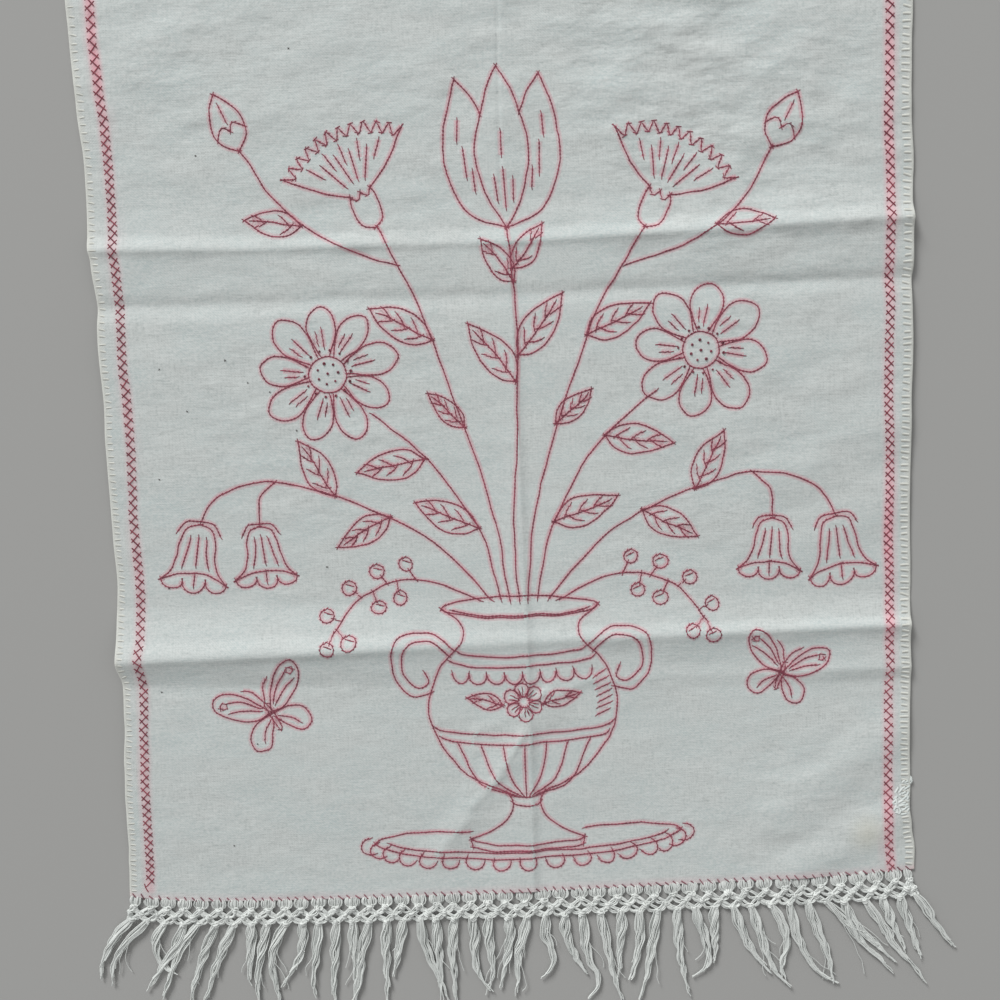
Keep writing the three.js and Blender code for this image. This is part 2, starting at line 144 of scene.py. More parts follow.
# The lengthwise crease: (up, across, lift) on its way up the cloth.
LENGTHWISE_CREASE = [
    (0, 9, 1.3), (67, 10, 1.3), (157, 10, 1.25), (245, 9, 1.15), (337, 8, 1.05), (386, 6.5, 0.8),
    (405, 6, 0.5), (418, 4.6, 0.1), (442, 3, 0), (508, 4, 0), (543, 5, 0), (CLOTH_LENGTH, 6, 0),
]
CREASE_SIDES = ((34, 1.2), (6.5, 2.0))  # of its left and its right side: (reach, hollowness)
# Above the upper fold it is a low broad ridge with a fine trough along it: (lift, reach) of each.
TOP_CREASE = (0.3, 18, 0.35, 1.9)
TOP_CREASE_FROM, TOP_CREASE_GROWTH = 405, 30

# Soft ridges (+) and troughs (-) between two places: (from, to, lift, half width).
RUMPLES = [
    ((25, 118), (-50, 28), 1.0, 15),
    ((243, 92), (165, 40), 1.5, 22),
    ((243, 34), (180, 4), 1.3, 20),
    ((240, 288), (165, 250), 1.1, 24),
    ((235, 236), (170, 205), 0.9, 22),
    ((5, 98), (-12, 72), 0.9, 3.2),
    ((-12, 72), (-29, 55), 0.9, 3),
    ((-31, 48), (-52, 28), 0.6, 3.2),
    ((-25, 100), (-31, 64), 0.4, 3.6),
    ((27, 131), (4, 111), 0.7, 3.4),
    ((2, 110), (-24, 102), 0.6, 3.2),
    ((50, 132), (24, 122), 0.45, 4),
]

# Places where the cloth is crumpled: (across, up, reach, lift of its puckers).
CRUMPLED = [
    (150, 470, 150, 1.3),
    (70, 530, 120, 0.8),
    (-60, 470, 130, 0.7),
    (-190, 520, 110, 0.9),
    (170, 300, 110, 0.5),
    (-120, 300, 140, 0.45),
    (90, 220, 100, 0.4),
    (190, 50, 90, 0.4),
]
CRUMPLE_EVERYWHERE = 0.36

# The herringbone columns wander with the cloth's edges: (up, across) of each, and then how high they
# start and end.
LEFT_HERRINGBONE = [
    (0, -236.8), (30, -235.3), (45, -234.9), (75, -234.5), (92, -233.3), (107, -232.8),
    (123, -231.4), (138, -230.9), (153, -232.1), (169, -230.7), (199, -229.7), (244, -230.6),
    (259, -229.8), (289, -228.8), (318, -229.1), (333, -230), (362, -229.5), (390, -230.2),
    (405, -231.1), (447, -231.2), (475, -231.9), (503, -234.1), (530, -235.8), (CLOTH_LENGTH, -235.4),
]
RIGHT_HERRINGBONE = [
    (0, 236.9), (28, 235.1), (59, 235), (75, 234.7), (106, 235), (137, 235.8), (152, 235.2),
    (182, 236.3), (220, 235.3), (257, 236.1), (301, 234.8), (330, 235.2), (359, 236.1), (373, 235.4),
    (402, 235.7), (430, 236.8), (472, 235.5), (486, 236.4), (CLOTH_LENGTH, 236.1),
]
HERRINGBONE_TOP = CLOTH_LENGTH - TOP_HEM - 3
LEFT_HERRINGBONE_START, RIGHT_HERRINGBONE_START = 10.8, 1.8
LOOSE_END = [(-239.9, 9.8), (-239.3, 7.2), (-237.6, 4.2)]  # of the left column's thread, (across, up)

# The height of one pair of crossed stitches, and between two ladder stitches: (up, left, right).
HERRINGBONE_PITCH = [
    (0, 5.0, 5.7), (110, 5.5, 5.9), (200, 5.8, 5.3), (285, 6.0, 5.4), (365, 5.5, 5.6),
    (445, 5.55, 5.6), (520, 6.1, 6.0), (CLOTH_LENGTH, 5.8, 5.8),
]
LADDER_PITCH = [
    (0, 3.5, 3.4), (110, 3.6, 3.5), (150, 4.0, 3.6), (240, 4.0, 3.9), (330, 4.3, 4.05), (400, 4.2, 4.5),
    (470, 4.6, 4.3), (530, 5.1, 4.2), (CLOTH_LENGTH, 5.1, 4.2),
]
LADDER_START, LADDER_TOP = 4, CLOTH_LENGTH - 3

# The whip stitches' height, and how far dye has spread from the herringbone and from them.
WHIP_LEVEL = 1.0
DYE_REACH = 5.4
WHIP_DYE, WHIP_DYE_REACH = 0.4, 3.2

# A faint yellow spot on the right hem: where it is and how far it reaches.
YELLOW_SPOT, YELLOW_REACH = (222, 27), 16

# Dark flecks of seed husk woven into the cloth: (across, up).
SEED_FLECKS = [
    (-120, 519), (-179, 459), (-168, 337), (-155, 323), (-142, 317), (-208, 333), (-193, 307),
    (-127, 293), (-213, 266), (-113, 208), (-212, 198), (-220, 133), (-162, 98), (-181, 36),
]

# Crisp edges that ironing left on the folds: (up at the left edge, up at the right edge, lift at
# five stations, half width below, half width above).
CRISP_CREASES = [
    (153.5, 159.5, (0.5, 0.5, 0.2, 0.5, 0.5), 7, 12),
    (187, 179, (-0.2, -0.2, 0, -0.1, -0.1), 3, 6),
    (137.5, 119, (-1.1, -1.0, -0.15, 0, 0), 60, 12),
    (127, 133, (0.1, 0.1, 0.1, 0.1, 0.35), 4, 5),
    (364, 365, (0.3, 0.3, 0.25, 0.3, 0.25), 12, 4),
    (371, 372, (-0.3, -0.3, -0.25, -0.3, -0.3), 3, 6),
    (371, 372, (-0.5, 0, 0, -0.6, -0.8), 40, 12),
    (403.5, 405.5, (0.9, 0.8, 0.8, 1, 1), 4, 10),
    (658, 660, (0.6, 0.6, 0.5, 0.6, 0.6), 7, 12),
]

# How far the upper fold wanders up at five stations, and how far from it that dies out.
UPPER_FOLD_BEND = (1, -1.8, -3, -1, 1.6)
UPPER_FOLD, UPPER_FOLD_REACH = 404, 45

# How the cloth is divided. Columns in from a side edge, and then to the other side, go in even steps
# to each stop: (stop, spacing). Rows are spaced by the gap between two cross lines: (widest gap,
# spacing), with more at the lower edge and the top hem, as shares of the gap there.
HEM_COLUMNS = [(0.5, 0.25), (2, 0.75), (10, 2.7), (20, 1.0)]
MIDDLE_COLUMNS = [(198, 4.8), (248, 2.4), (268, 0.9), (CLOTH_WIDTH - 20, 4.8)]
ROW_SPACINGS = [(11, 1.5), (30, 2.4), (70, 3), (120, 3.9), (CLOTH_LENGTH, 5.2)]
LOWER_EDGE_ROWS = (0.0, 0.002, 0.006, 0.012)
TOP_HEM_ROWS = (0.048, 0.046, 0.044, 0.042, 0.02, 0.008, 0.003, 0.001)

# The fringe's threads. Half widths are given on the way down.
THREAD_LEVEL = 1.0
HEAD_HALF_WIDTHS = (0.88, 1.04, 1.1, 0.98, 0.5)  # as shares of the bundle's half width
CORD_HALF_WIDTHS = (0.95, 0.78, 0.78, 0.95)
TASSEL_HALF_WIDTHS = (2.2, 3.6, 3.2, 2.5, 1.8, 1.2, 0.8)
LOCKS = 3  # in each tassel
CRIMP_LENGTH = 13
RAGGED_TASSELS = (1, 9, 22, 23, 35, 39)  # the ones with the most stray threads

# The darned mend: the height of a stitch, and its columns, (across, lowest, highest).
MEND_STEP = 1.7
MEND_COLUMNS = [(247, 39, 61), (244.8, 38, 60), (242.6, 38, 57), (240.6, 39, 54), (238.8, 41, 50)]

# The redwork: its middle, a daisy's ring as a share of its radius, and the curved bands round the
# urn: (half width, half height, from degrees, to degrees, up, steps).
CENTRE = 6.0
DAISY_HEART = 0.27
URN_BANDS = [
    (35.5, 4.5, 180, 360, 35, 28), (12, 3, 180, 360, 63, 10), (9.5, 2.5, 180, 360, 57, 10),
    (49, 6.5, 180, 360, 179, 28), (49, 6.5, 0, 180, 179, 28), (43, 5, 188, 352, 178.5, 28),
    (40, 5, 180, 360, 153, 28), (45, 5.5, 183, 357, 147, 28), (56, 7, 183, 357, 105, 28),
    (53, 7, 184, 356, 99, 28),
]

# A berry sprig, from the middle outwards: its stem, and where each berry's stalk starts and ends.
BERRY_RADIUS = 4.4
BERRY_STEM = [(24, 183), (62, 198), (96, 190), (116, 166)]
BERRIES = [
    ((64, 198), (70, 208)), ((82, 196), (88, 204)), ((99, 189), (106, 194)), ((113, 174), (120, 177)),
    ((116, 166), (120, 157)), ((114, 168), (107, 160)), ((92, 192), (88, 182)), ((76, 197), (74, 187)),
]

# The camera's place, (across, up, height), and how it is turned from straight down, in degrees.
CAMERA_PLACE = (-2.0, 301.3, 616)
CAMERA_TURN = (-5.15, 0, -2.05)


# ------------------------------------------------------------------------------- the cloth's surface
def clamp(t, low=0.0, high=1.0):
    return min(max(t, low), high)


def ease(t):
    t = clamp(t)
    return t * t * (3 - 2 * t)


def mix(a, b, t):
    return a + (b - a) * t


def between(values, place, shape=lambda t: t):
    """The value at a place in a row of values, where place 0 is the first and 1 the second."""
    k = min(int(place), len(values) - 2)
    return mix(values[k], values[k + 1], shape(place - k))


def eased_between(values, share):
    return between(values, clamp(share) * (len(values) - 1), ease)


def read_table(rows, place, column=1):
    """The eased value of a column where the first column reads place."""
    k = 0
    while k < len(rows) - 2 and place > rows[k + 1][0]:
        k += 1
    low, high = rows[k], rows[k + 1]
    return mix(low[column], high[column], ease((place - low[0]) / (high[0] - low[0])))


def wander(number, salt):
    """A set number between -0.5 and 0.5 for each thing and purpose, with no order in it."""
    mixed = math.sin(number * 12.9898 + salt * 78.233) * 43758.5453
    return mixed - math.floor(mixed) - 0.5


def bell(distance, half_width):
    return (1 - (distance / half_width) ** 2) ** 2 if distance < half_width else 0.0


def left_edge(up):
    return -CLOTH_WIDTH / 2 + read_table(LEFT_DRAWN_IN, up)


def right_edge(up):
    return CLOTH_WIDTH / 2 - read_table(RIGHT_DRAWN_IN, up)


def from_side(across, up):
    return min(across - left_edge(up), right_edge(up) - across)


def lower_edge(across):
    """The fringe edge: it drops near each corner and bows between them, more on the left."""
    place = clamp(2 * across / CLOTH_WIDTH, -1.0)
    to_right = (place + 1) / 2
    bowed, dropped = mix(*LOWER_EDGE_BOW, to_right), mix(*LOWER_EDGE_DROP, to_right)
    return -bowed * (1 - place ** 2) - dropped * (1 - place ** 10)


def bow(across, up):
    """How far the bow of the fringe edge moves a place down: it dies out going up the cloth."""
    return lower_edge(across) * (1 - ease(up / BOW_REACH))


@functools.cache
def fold_profile(share):
    """The cross lines' heights on one lengthwise line of the cloth, and the slope at each of them,
    kept low enough that the cloth never overshoots between two lines."""
    ups = [mix(left, right, share) for left, right, _ in CROSS_LINES]
    lifts = [eased_between(lifts, share) for _, _, lifts in CROSS_LINES]
    rises = [(lifts[k + 1] - lifts[k]) / (ups[k + 1] - ups[k]) for k in range(len(ups) - 1)]
    slopes = [0.0]
    for before, after in zip(rises, rises[1:]):
        slopes.append(2 * before * after / (before + after) if before * after > 0 else 0.0)
    return ups, lifts, slopes + [0.0]


def fold_lift(share, up):
    ups, lifts, slopes = fold_profile(round(share, 3))
    k = 0
    while k < len(ups) - 2 and up > ups[k + 1]:
        k += 1
    span = ups[k + 1] - ups[k]
    t = clamp((up - ups[k]) / span)
    return (
        lifts[k] * (1 + 2 * t) * (1 - t) ** 2 + lifts[k + 1] * t * t * (3 - 2 * t)
        + slopes[k] * span * t * (1 - t) ** 2 - slopes[k + 1] * span * t * t * (1 - t)
    )


def crease_lift(across, up):
    """The lengthwise crease is a ridge, long and low on its left and short and steep on its right."""
    away = across - read_table(LENGTHWISE_CREASE, up)
    reach, hollow = CREASE_SIDES[away > 0]
    ridge = read_table(LENGTHWISE_CREASE, up, 2) * max(0.0, 1 - abs(away) / reach) ** hollow
    broad, broad_reach, fine, fine_reach = TOP_CREASE
    slack = broad * bell(abs(away), broad_reach) - fine * max(0.0, 1 - abs(away) / fine_reach)
    return ridge + ease((up - TOP_CREASE_FROM) / TOP_CREASE_GROWTH) * slack


def crisp_lift(share, up):
    total = 0.0
    for left, right, lifts, below, above in CRISP_CREASES:
        away = up - mix(left, right, share)
        reach = above if away > 0 else below
        if abs(away) < reach:
            total += eased_between(lifts, share) * (1 - abs(away) / reach) ** 1.5
    return total


def rumple_lift(across, up):
    total = 0.0
    for (x0, y0), (x1, y1), lift, half_width in RUMPLES:
        along = ((across - x0) * (x1 - x0) + (up - y0) * (y1 - y0)) / ((x1 - x0) ** 2 + (y1 - y0) ** 2)
        along = clamp(along)
        total += lift * bell(math.hypot(across - mix(x0, x1, along), up - mix(y0, y1, along)), half_width)
    return total


def crumpled_share(across, up):
    return CRUMPLE_EVERYWHERE + sum(
        lift * bell(math.hypot(across - x, up - y), reach) for x, y, reach, lift in CRUMPLED
    )


def uneven(across, up, wide, high, salt):
    """Smooth unevenness between about -1 and 1, in patches that wide and high."""
    return noise.noise(Vector((across / wide, up / high, salt)))


def crumple_lift(across, up):
    """Fine puckers that are wider across the cloth than up it, and never sink below the table."""
    broad = 0.7 * uneven(across, up, 46, 27, 3.1)
    middling = 0.6 * uneven(across, up, 24, 12, 8.7)
    ridged = 0.3 * (1 - 2 * abs(uneven(across, up, 30, 15, 5.3)))
    fine = 0.3 * uneven(across, up, 14, 7, 1.9)
    return crumpled_share(across, up) * (0.6 + broad + middling + ridged + fine)


def hem_share(across, up):
    """1 on a turned hem and 0 on the single cloth."""
    on_side = 1 - ease((from_side(across, up) - SIDE_HEM) / HEM_SOFTNESS + 0.5)
    on_top = ease((up - CLOTH_LENGTH + TOP_HEM) / HEM_SOFTNESS + 0.5)
    return max(on_side, on_top)


def pale_hem_share(across, up):
    """The side hems are palest along their outer edges."""
    return hem_share(across, up) * mix(1.6, 0.1, ease((from_side(across, up) - 0.5) / 4))


def dye_share(across, up):
    """How much red dye the stitches have let out into the cloth around them: most along the whole
    right column and the upper part of the left one."""
    patchy = 0.75 + 0.45 * uneven(across, up, 60, 40, 4.4)
    upper_part, clear_of_fringe = ease((up - 420) / 90), ease((up - 1) / 5)
    left = bell(abs(across - read_table(LEFT_HERRINGBONE, up)), DYE_REACH)
    left *= mix(0.75, 1.0, upper_part)
    left *= clear_of_fringe
    right = bell(abs(across - read_table(RIGHT_HERRINGBONE, up)), DYE_REACH)
    whip = WHIP_DYE * bell(abs(up - WHIP_LEVEL), WHIP_DYE_REACH)
    return max(left, right, whip) * patchy


def yellow_share(across, up):
    return bell(math.hypot(across - YELLOW_SPOT[0], up - YELLOW_SPOT[1]), YELLOW_REACH)


def underside(across, up):
    left, right = left_edge(up), right_edge(up)
    share = (across - left) / (right - left)
    folded = up - eased_between(UPPER_FOLD_BEND, share) * bell(abs(up - UPPER_FOLD), UPPER_FOLD_REACH)
    lift = fold_lift(share, folded) + crisp_lift(share, folded)
    lift += crease_lift(across, up) + rumple_lift(across, up)
    return max(0.0, lift + max(0.0, crumple_lift(across, up)))


def thickness(across, up):
    """The cloth's thickness, rounded off at its edges."""
    from_edge = max(0.0, min(from_side(across, up), up + 0.3, CLOTH_LENGTH - up))
    roundness = math.sqrt(max(0.0, 1 - max(0.0, 1 - from_edge / EDGE_ROUNDING) ** 2))
    return (CLOTH_THICKNESS + HEM_RISE * hem_share(across, up)) * (0.3 + 0.7 * roundness)


cloth_low, cloth_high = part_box("towel_cloth")
MIDDLE_X = cloth_low.x - min(left_edge(up) for up in range(CLOTH_LENGTH)) * MM
FRINGE_EDGE_Y = cloth_high.y - CLOTH_LENGTH * MM


def in_frame(across, up, height):
    return Vector((MIDDLE_X + across * MM, FRINGE_EDGE_Y + up * MM, height * MM))


def on_cloth(across, up, proud=0.0):
    """A place for a piece that is then laid on the cloth, standing proud of its face by that much."""
    return in_frame(across, up + bow(across, up), proud)


def new_object(name, data):
    made = bpy.data.objects.new(name, data)
    bpy.context.scene.collection.objects.link(made)
    return made


# ------------------------------------------------------------------------------------ node helpers
class Field:
    """An output of a node. Sums with it add maths nodes to the same tree."""

    def __init__(self, socket):
        self.socket = socket

    def also(self, output):
        """Another output of the same node."""
        return Field(self.socket.node.outputs[output])

    def maths(self, operation, *terms):
        return add(self.socket.id_data, "ShaderNodeMath", dict(enumerate(terms)), operation=operation)

    def sine(self):
        return self.maths("SINE", self)

    def at_most(self, limit):
        return self.maths("MINIMUM", self, limit)

    def __abs__(self):
        return self.maths("ABSOLUTE", self)

    def __add__(self, other):
        return self.maths("ADD", self, other)

    def __sub__(self, other):
        return self.maths("SUBTRACT", self, other)

    def __rsub__(self, other):
        return self.maths("SUBTRACT", other, self)

    def __mul__(self, other):
        return self.maths("MULTIPLY", self, other)

    def __truediv__(self, other):
        return self.maths("DIVIDE", self, other)

    def __rtruediv__(self, other):
        return self.maths("DIVIDE", other, self)

    def __mod__(self, other):
        return self.maths("MODULO", self, other)

    def __pow__(self, other):
        return self.maths("POWER", self, other)


def fill(node, inputs):
    """Links or fills a node's inputs, by name or number."""
    for name, value in inputs.items():
        if isinstance(value, Field):
            node.id_data.links.new(value.socket, node.inputs[name])
        else:
            node.inputs[name].default_value = value


def add(tree, kind, inputs=None, output=0, **settings):
    """Adds a node, sets its own settings, fills its inputs, and gives one of its outputs."""
    made = tree.nodes.new(kind)
    for name, value in settings.items():
        setattr(made, name, value)
    fill(made, inputs or {})
    return Field(made.outputs[output])


def xyz(new, x=0.0, y=0.0, z=0.0):
    return new("ShaderNodeCombineXYZ", {"X": x, "Y": y, "Z": z})


def vector_maths(new, operation, *terms):
    return new("ShaderNodeVectorMath", dict(enumerate(terms)), operation=operation)


def scaled(new, vector, scale):
    return new("ShaderNodeVectorMath", {0: vector, "Scale": scale}, operation="SCALE")


def geometry_tree(name, sizes):
    """A geometry tree with a Geometry input, a Material input and the named sizes, each with its
    usual value: (3, MM) is a length of 3 mm. Gives a function that adds nodes to it, and its inputs."""
    tree = bpy.data.node_groups.new(name, "GeometryNodeTree")

    def socket(title, kind, way="INPUT"):
        return tree.interface.new_socket(title, in_out=way, socket_type=f"NodeSocket{kind}")

    socket("Geometry", "Geometry")
    socket("Material", "Material")
    for title, usual in sizes.items():
        if isinstance(usual, tuple):
            length = socket(title, "Float")
            length.subtype = "DISTANCE"
            length.default_value = math.prod(usual)
        else:
            socket(title, {bool: "Bool", int: "Int", float: "Float"}[type(usual)]).default_value = usual
    socket("Geometry", "Geometry", "OUTPUT")
    new = functools.partial(add, tree)
    given = new("NodeGroupInput")
    return new, {title: given.also(title) for title in ("Geometry", "Material", *sizes)}


def finish_tree(new, given, geometry, smooth=True):
    whole = new("GeometryNodeRealizeInstances", {"Geometry": geometry})
    shaded = new("GeometryNodeSetShadeSmooth", {"Geometry": whole, "Shade Smooth": smooth})
    dressed = new("GeometryNodeSetMaterial", {"Geometry": shaded, "Material": given["Material"]})
    tree = dressed.socket.id_data
    fill(tree.nodes.new("NodeGroupOutput"), {"Geometry": dressed})
    return tree


def random_value(new, low, high, seed, **inputs):
    return new("FunctionNodeRandomValue", {2: low, 3: high, "Seed": seed, **inputs}, 1, data_type="FLOAT")


def marked(new, geometry, name, value, domain):
    """Keeps a number on the geometry, which its material reads."""
    return new("GeometryNodeStoreNamedAttribute", {"Geometry": geometry, "Name": name, "Value": value},
               data_type="FLOAT", domain=domain)


def thread_along(new, curve, radius):
    rim = new("GeometryNodeCurvePrimitiveCircle", {"Resolution": 5, "Radius": radius})
    return new("GeometryNodeCurveToMesh", {"Curve": curve, "Profile Curve": rim, "Fill Caps": True})


def placed_along(new, places, instance, along, upright, turn, size):
    """Instances on points of a path, each with its named axis along the path and then turned."""
    facing = new("FunctionNodeAxesToRotation",
                 {"Primary Axis": places.also("Tangent"), "Secondary Axis": (0, 0, 1)},
                 primary_axis=along, secondary_axis=upright)
    further = new("FunctionNodeEulerToRotation", {0: turn})
    turned = new("FunctionNodeRotateRotation", {"Rotation": facing, "Rotate By": further},
                 rotation_space="LOCAL")
    return new("GeometryNodeInstanceOnPoints",
               {"Points": places, "Instance": instance, "Rotation": turned, "Scale": size})


# ------------------------------------------------------------------------------- geometry node trees
def stitches_tree():
    """Thread stitches laid along each path, at even steps or at the path's own points. Each is a
    small arched bar of thread that leans from the path, all one way or to the two sides in turn,
    the second side lying over the first."""
    new, given = geometry_tree("stitches along a path", {
        "Even steps": True, "Spacing": (3, MM), "Stitch length": (4, MM), "Thread width": (0.9, MM),
        "Arch": (0.4, MM), "Lean": 0.2, "Swap sides": False, "Flatness": 1.0, "Unevenness": 0.1, "Seed": 1,
    })
    half = given["Stitch length"] * 0.5
    line = new("GeometryNodeCurvePrimitiveLine", {"Start": xyz(new, half * -1.0), "End": xyz(new, half)})
    steps = new("GeometryNodeResampleCurve", {"Curve": line, "Count": 4})
    hump = 1.0 - abs(new("GeometryNodeSplineParameter") * 2.0 - 1.0) ** 3.0
    rise = xyz(new, z=hump * given["Arch"])
    arched = new("GeometryNodeSetPosition", {"Geometry": steps, "Offset": rise})
    tapered = new("GeometryNodeSetCurveRadius", {"Curve": arched, "Radius": hump * 0.45 + 0.55})
    stitch = thread_along(new, tapered, given["Thread width"] * 0.5)

    evened = new("GeometryNodeResampleCurve",
                 {"Curve": given["Geometry"], "Length": given["Spacing"]}, mode="LENGTH")
    chosen = new("GeometryNodeSwitch",
                 {"Switch": given["Even steps"], "False": given["Geometry"], "True": evened},
                 input_type="GEOMETRY")
    places = new("GeometryNodeCurveToPoints", {"Curve": chosen}, mode="EVALUATED")
    odd = new("GeometryNodeInputIndex") % 2.0 * given["Swap sides"]
    lean = given["Lean"] * (1.0 - odd * 2.0)
    turn = lean + random_value(new, -1.0, 1.0, given["Seed"]) * given["Unevenness"]
    stretch = random_value(new, -1.0, 1.0, given["Seed"] + 1.0) * given["Unevenness"] + 1.0
    laid = placed_along(new, places, stitch, "X", "Z", xyz(new, z=turn),
                        xyz(new, stretch, 1.0, given["Flatness"]))
    overlap = xyz(new, z=odd * (given["Thread width"] * 0.5))
    crossed = new("GeometryNodeTranslateInstances", {"Instances": laid, "Translation": overlap})
    tone = odd * -0.3 + random_value(new, 0.0, 1.0, given["Seed"] + 2.0)
    return finish_tree(new, given, marked(new, crossed, "tone", tone, "INSTANCE"))


def strands_tree():
    """Loose strands of thread along each guide line. The guide's own radius is the half width of
    the bundle there, and the strands lie side by side across it, wavering a little."""
    new, given = geometry_tree("strands along a guide", {
        "Strands": 6, "Thread radius": (0.25, MM), "Depth": (0.4, MM), "Waver": (0.4, MM),
        "Waver size": (12, MM), "Shortening": 0.1, "Taper": 0.0, "Seed": 1,
    })
    copies = new("GeometryNodeDuplicateElements",
                 {"Geometry": given["Geometry"], "Amount": given["Strands"]}, domain="SPLINE")
    strand = new("GeometryNodeFieldOnDomain", {"Value": new("GeometryNodeInputIndex")},
                 domain="CURVE", data_type="INT")
    share = new("GeometryNodeSplineParameter")

    def drawn(low, high, salt):
        return random_value(new, low, high, given["Seed"] + salt, ID=strand)

    lane = (copies.also("Duplicate Index") + 0.5) / given["Strands"] * 2.0 - 1.0
    lane = lane + drawn(-0.8, 0.8, 0.0) / given["Strands"]
    tangent = new("GeometryNodeInputTangent")
    sideways = vector_maths(new, "NORMALIZE", vector_maths(new, "CROSS_PRODUCT", (0, 0, 1), tangent))
    across = scaled(new, sideways, lane * new("GeometryNodeInputRadius"))
    level = xyz(new, z=drawn(-0.5, 0.5, 1.0) * given["Depth"])
    stretched = scaled(new, new("GeometryNodeInputPosition"), 1.0 / given["Waver size"])
    sample = vector_maths(new, "ADD", xyz(new, z=strand * 3.7), stretched)
    ripple = new("ShaderNodeTexNoise", {"Vector": sample, "Scale": 1.0, "Detail": 1.0}, "Color")
    centred = vector_maths(new, "SUBTRACT", ripple, (0.5, 0.5, 0.5))
    flat = vector_maths(new, "MULTIPLY", centred, (1, 1, 0.25))
    freed = (share * 3.0).at_most(1.0) * (share + 0.6)
    waver = scaled(new, flat, given["Waver"] * freed * 4.0)
    offset = vector_maths(new, "ADD", vector_maths(new, "ADD", across, level), waver)
    moved = new("GeometryNodeSetPosition", {"Geometry": copies, "Offset": offset})
    end = 1.0 - given["Shortening"] * drawn(0.0, 1.0, 2.0)
    cut = new("GeometryNodeTrimCurve", {"Curve": moved, "End": end}, mode="FACTOR")
    thinned = new("GeometryNodeSetCurveRadius",
                  {"Curve": cut, "Radius": 1.0 - given["Taper"] * share ** 2.0})
    toned = marked(new, thinned, "tone", drawn(0.0, 1.0, 3.0), "CURVE")
    return finish_tree(new, given, thread_along(new, toned, given["Thread radius"]))


def knots_tree():
    """Wrapped knots: a short coil of thread at the middle of each guide line, drawn tight round it."""
    new, given = geometry_tree("knots", {
        "Knot radius": (1.1, MM), "Knot length": (1.8, MM), "Thread radius": (0.45, MM),
        "Unevenness": 0.2, "Seed": 1,
    })
    coil = new("GeometryNodeCurveSpiral", {
        "Resolution": 8, "Rotations": 2.3, "Start Radius": given["Knot radius"],
        "End Radius": given["Knot radius"], "Height": given["Knot length"],
    })
    down = xyz(new, z=given["Knot length"] * -0.5)
    wrap = thread_along(new, new("GeometryNodeTransform", {"Geometry": coil, "Translation": down}),
                        given["Thread radius"])
    places = new("GeometryNodeCurveToPoints", {"Curve": given["Geometry"], "Count": 1}, mode="COUNT")
    unsure = random_value(new, -1.0, 1.0, given["Seed"])
    size = random_value(new, -1.0, 1.0, given["Seed"] + 1.0) * given["Unevenness"] + 1.0
    tied = placed_along(new, places, wrap, "Z", "X",
                        xyz(new, unsure * given["Unevenness"], z=unsure * 2.0), size)
    tone = random_value(new, 0.0, 1.0, given["Seed"] + 2.0)
    return finish_tree(new, given, marked(new, tied, "tone", tone, "INSTANCE"))


def dye_tree():
    """A film of dye along each path, which its material fades out towards both sides."""
    new, given = geometry_tree("dye along a path", {
        "Step": (2.5, MM), "Width": (3, MM), "Thickness": (0.04, MM),
    })
    stepped = new("GeometryNodeResampleCurve",
                  {"Curve": given["Geometry"], "Length": given["Step"]}, mode="LENGTH")
    level = new("GeometryNodeSetCurveNormal", {"Curve": stepped}, mode="Z_UP")
    even = new("GeometryNodeSetCurveRadius", {"Curve": level, "Radius": 1.0})
    band = new("GeometryNodeCurvePrimitiveQuadrilateral",
               {"Width": given["Width"], "Height": given["Thickness"]}, mode="RECTANGLE")
    halved = new("GeometryNodeSubdivideCurve", {"Curve": band, "Cuts": 1})
    place = new("ShaderNodeSeparateXYZ", {0: new("GeometryNodeInputPosition")})
    edged = marked(new, halved, "from_middle", place / (given["Width"] * 0.5), "POINT")
    film = new("GeometryNodeCurveToMesh", {"Curve": even, "Profile Curve": edged, "Fill Caps": True})
    return finish_tree(new, given, film, smooth=False)


def path_object(paths):
    """A curve object with one straight-stepped spline for each path. A path is a list of points, or
    of (point, half width) pairs."""
    curve = bpy.data.curves.new("paths", "CURVE")
    curve.dimensions = "3D"
    for path in paths:
        pairs = [stop if isinstance(stop, tuple) else (stop, MM) for stop in path]
        spline = curve.splines.new("POLY")
        spline.points.add(len(pairs) - 1)
        for point, (place, half_width) in zip(spline.points, pairs):
            point.co = (*place, 1)
            point.radius = half_width
    return new_object("paths", curve)


def lay_on_cloth(mesh):
    """Lays a mesh made on the level down on the cloth's face, with all its folds."""
    for vertex in mesh.vertices:
        above = Vector((vertex.co.x, vertex.co.y, 50 * MM))
        beside = Vector((vertex.co.x, vertex.co.y, 2 * MM))
        face = cloth_faces.ray_cast(above, Vector((0, 0, -1)))[0] or cloth_faces.find_nearest(beside)[0]
        vertex.co.z += face.z
    mesh.update()


def press_on_table(mesh):
    """Flattens what hangs low against the table, so that nothing sinks into it."""
    for vertex in mesh.vertices:
        if vertex.co.z < PRESSED_BELOW:
            vertex.co.z = PRESSED_BELOW * math.exp(vertex.co.z / PRESSED_BELOW - 1)


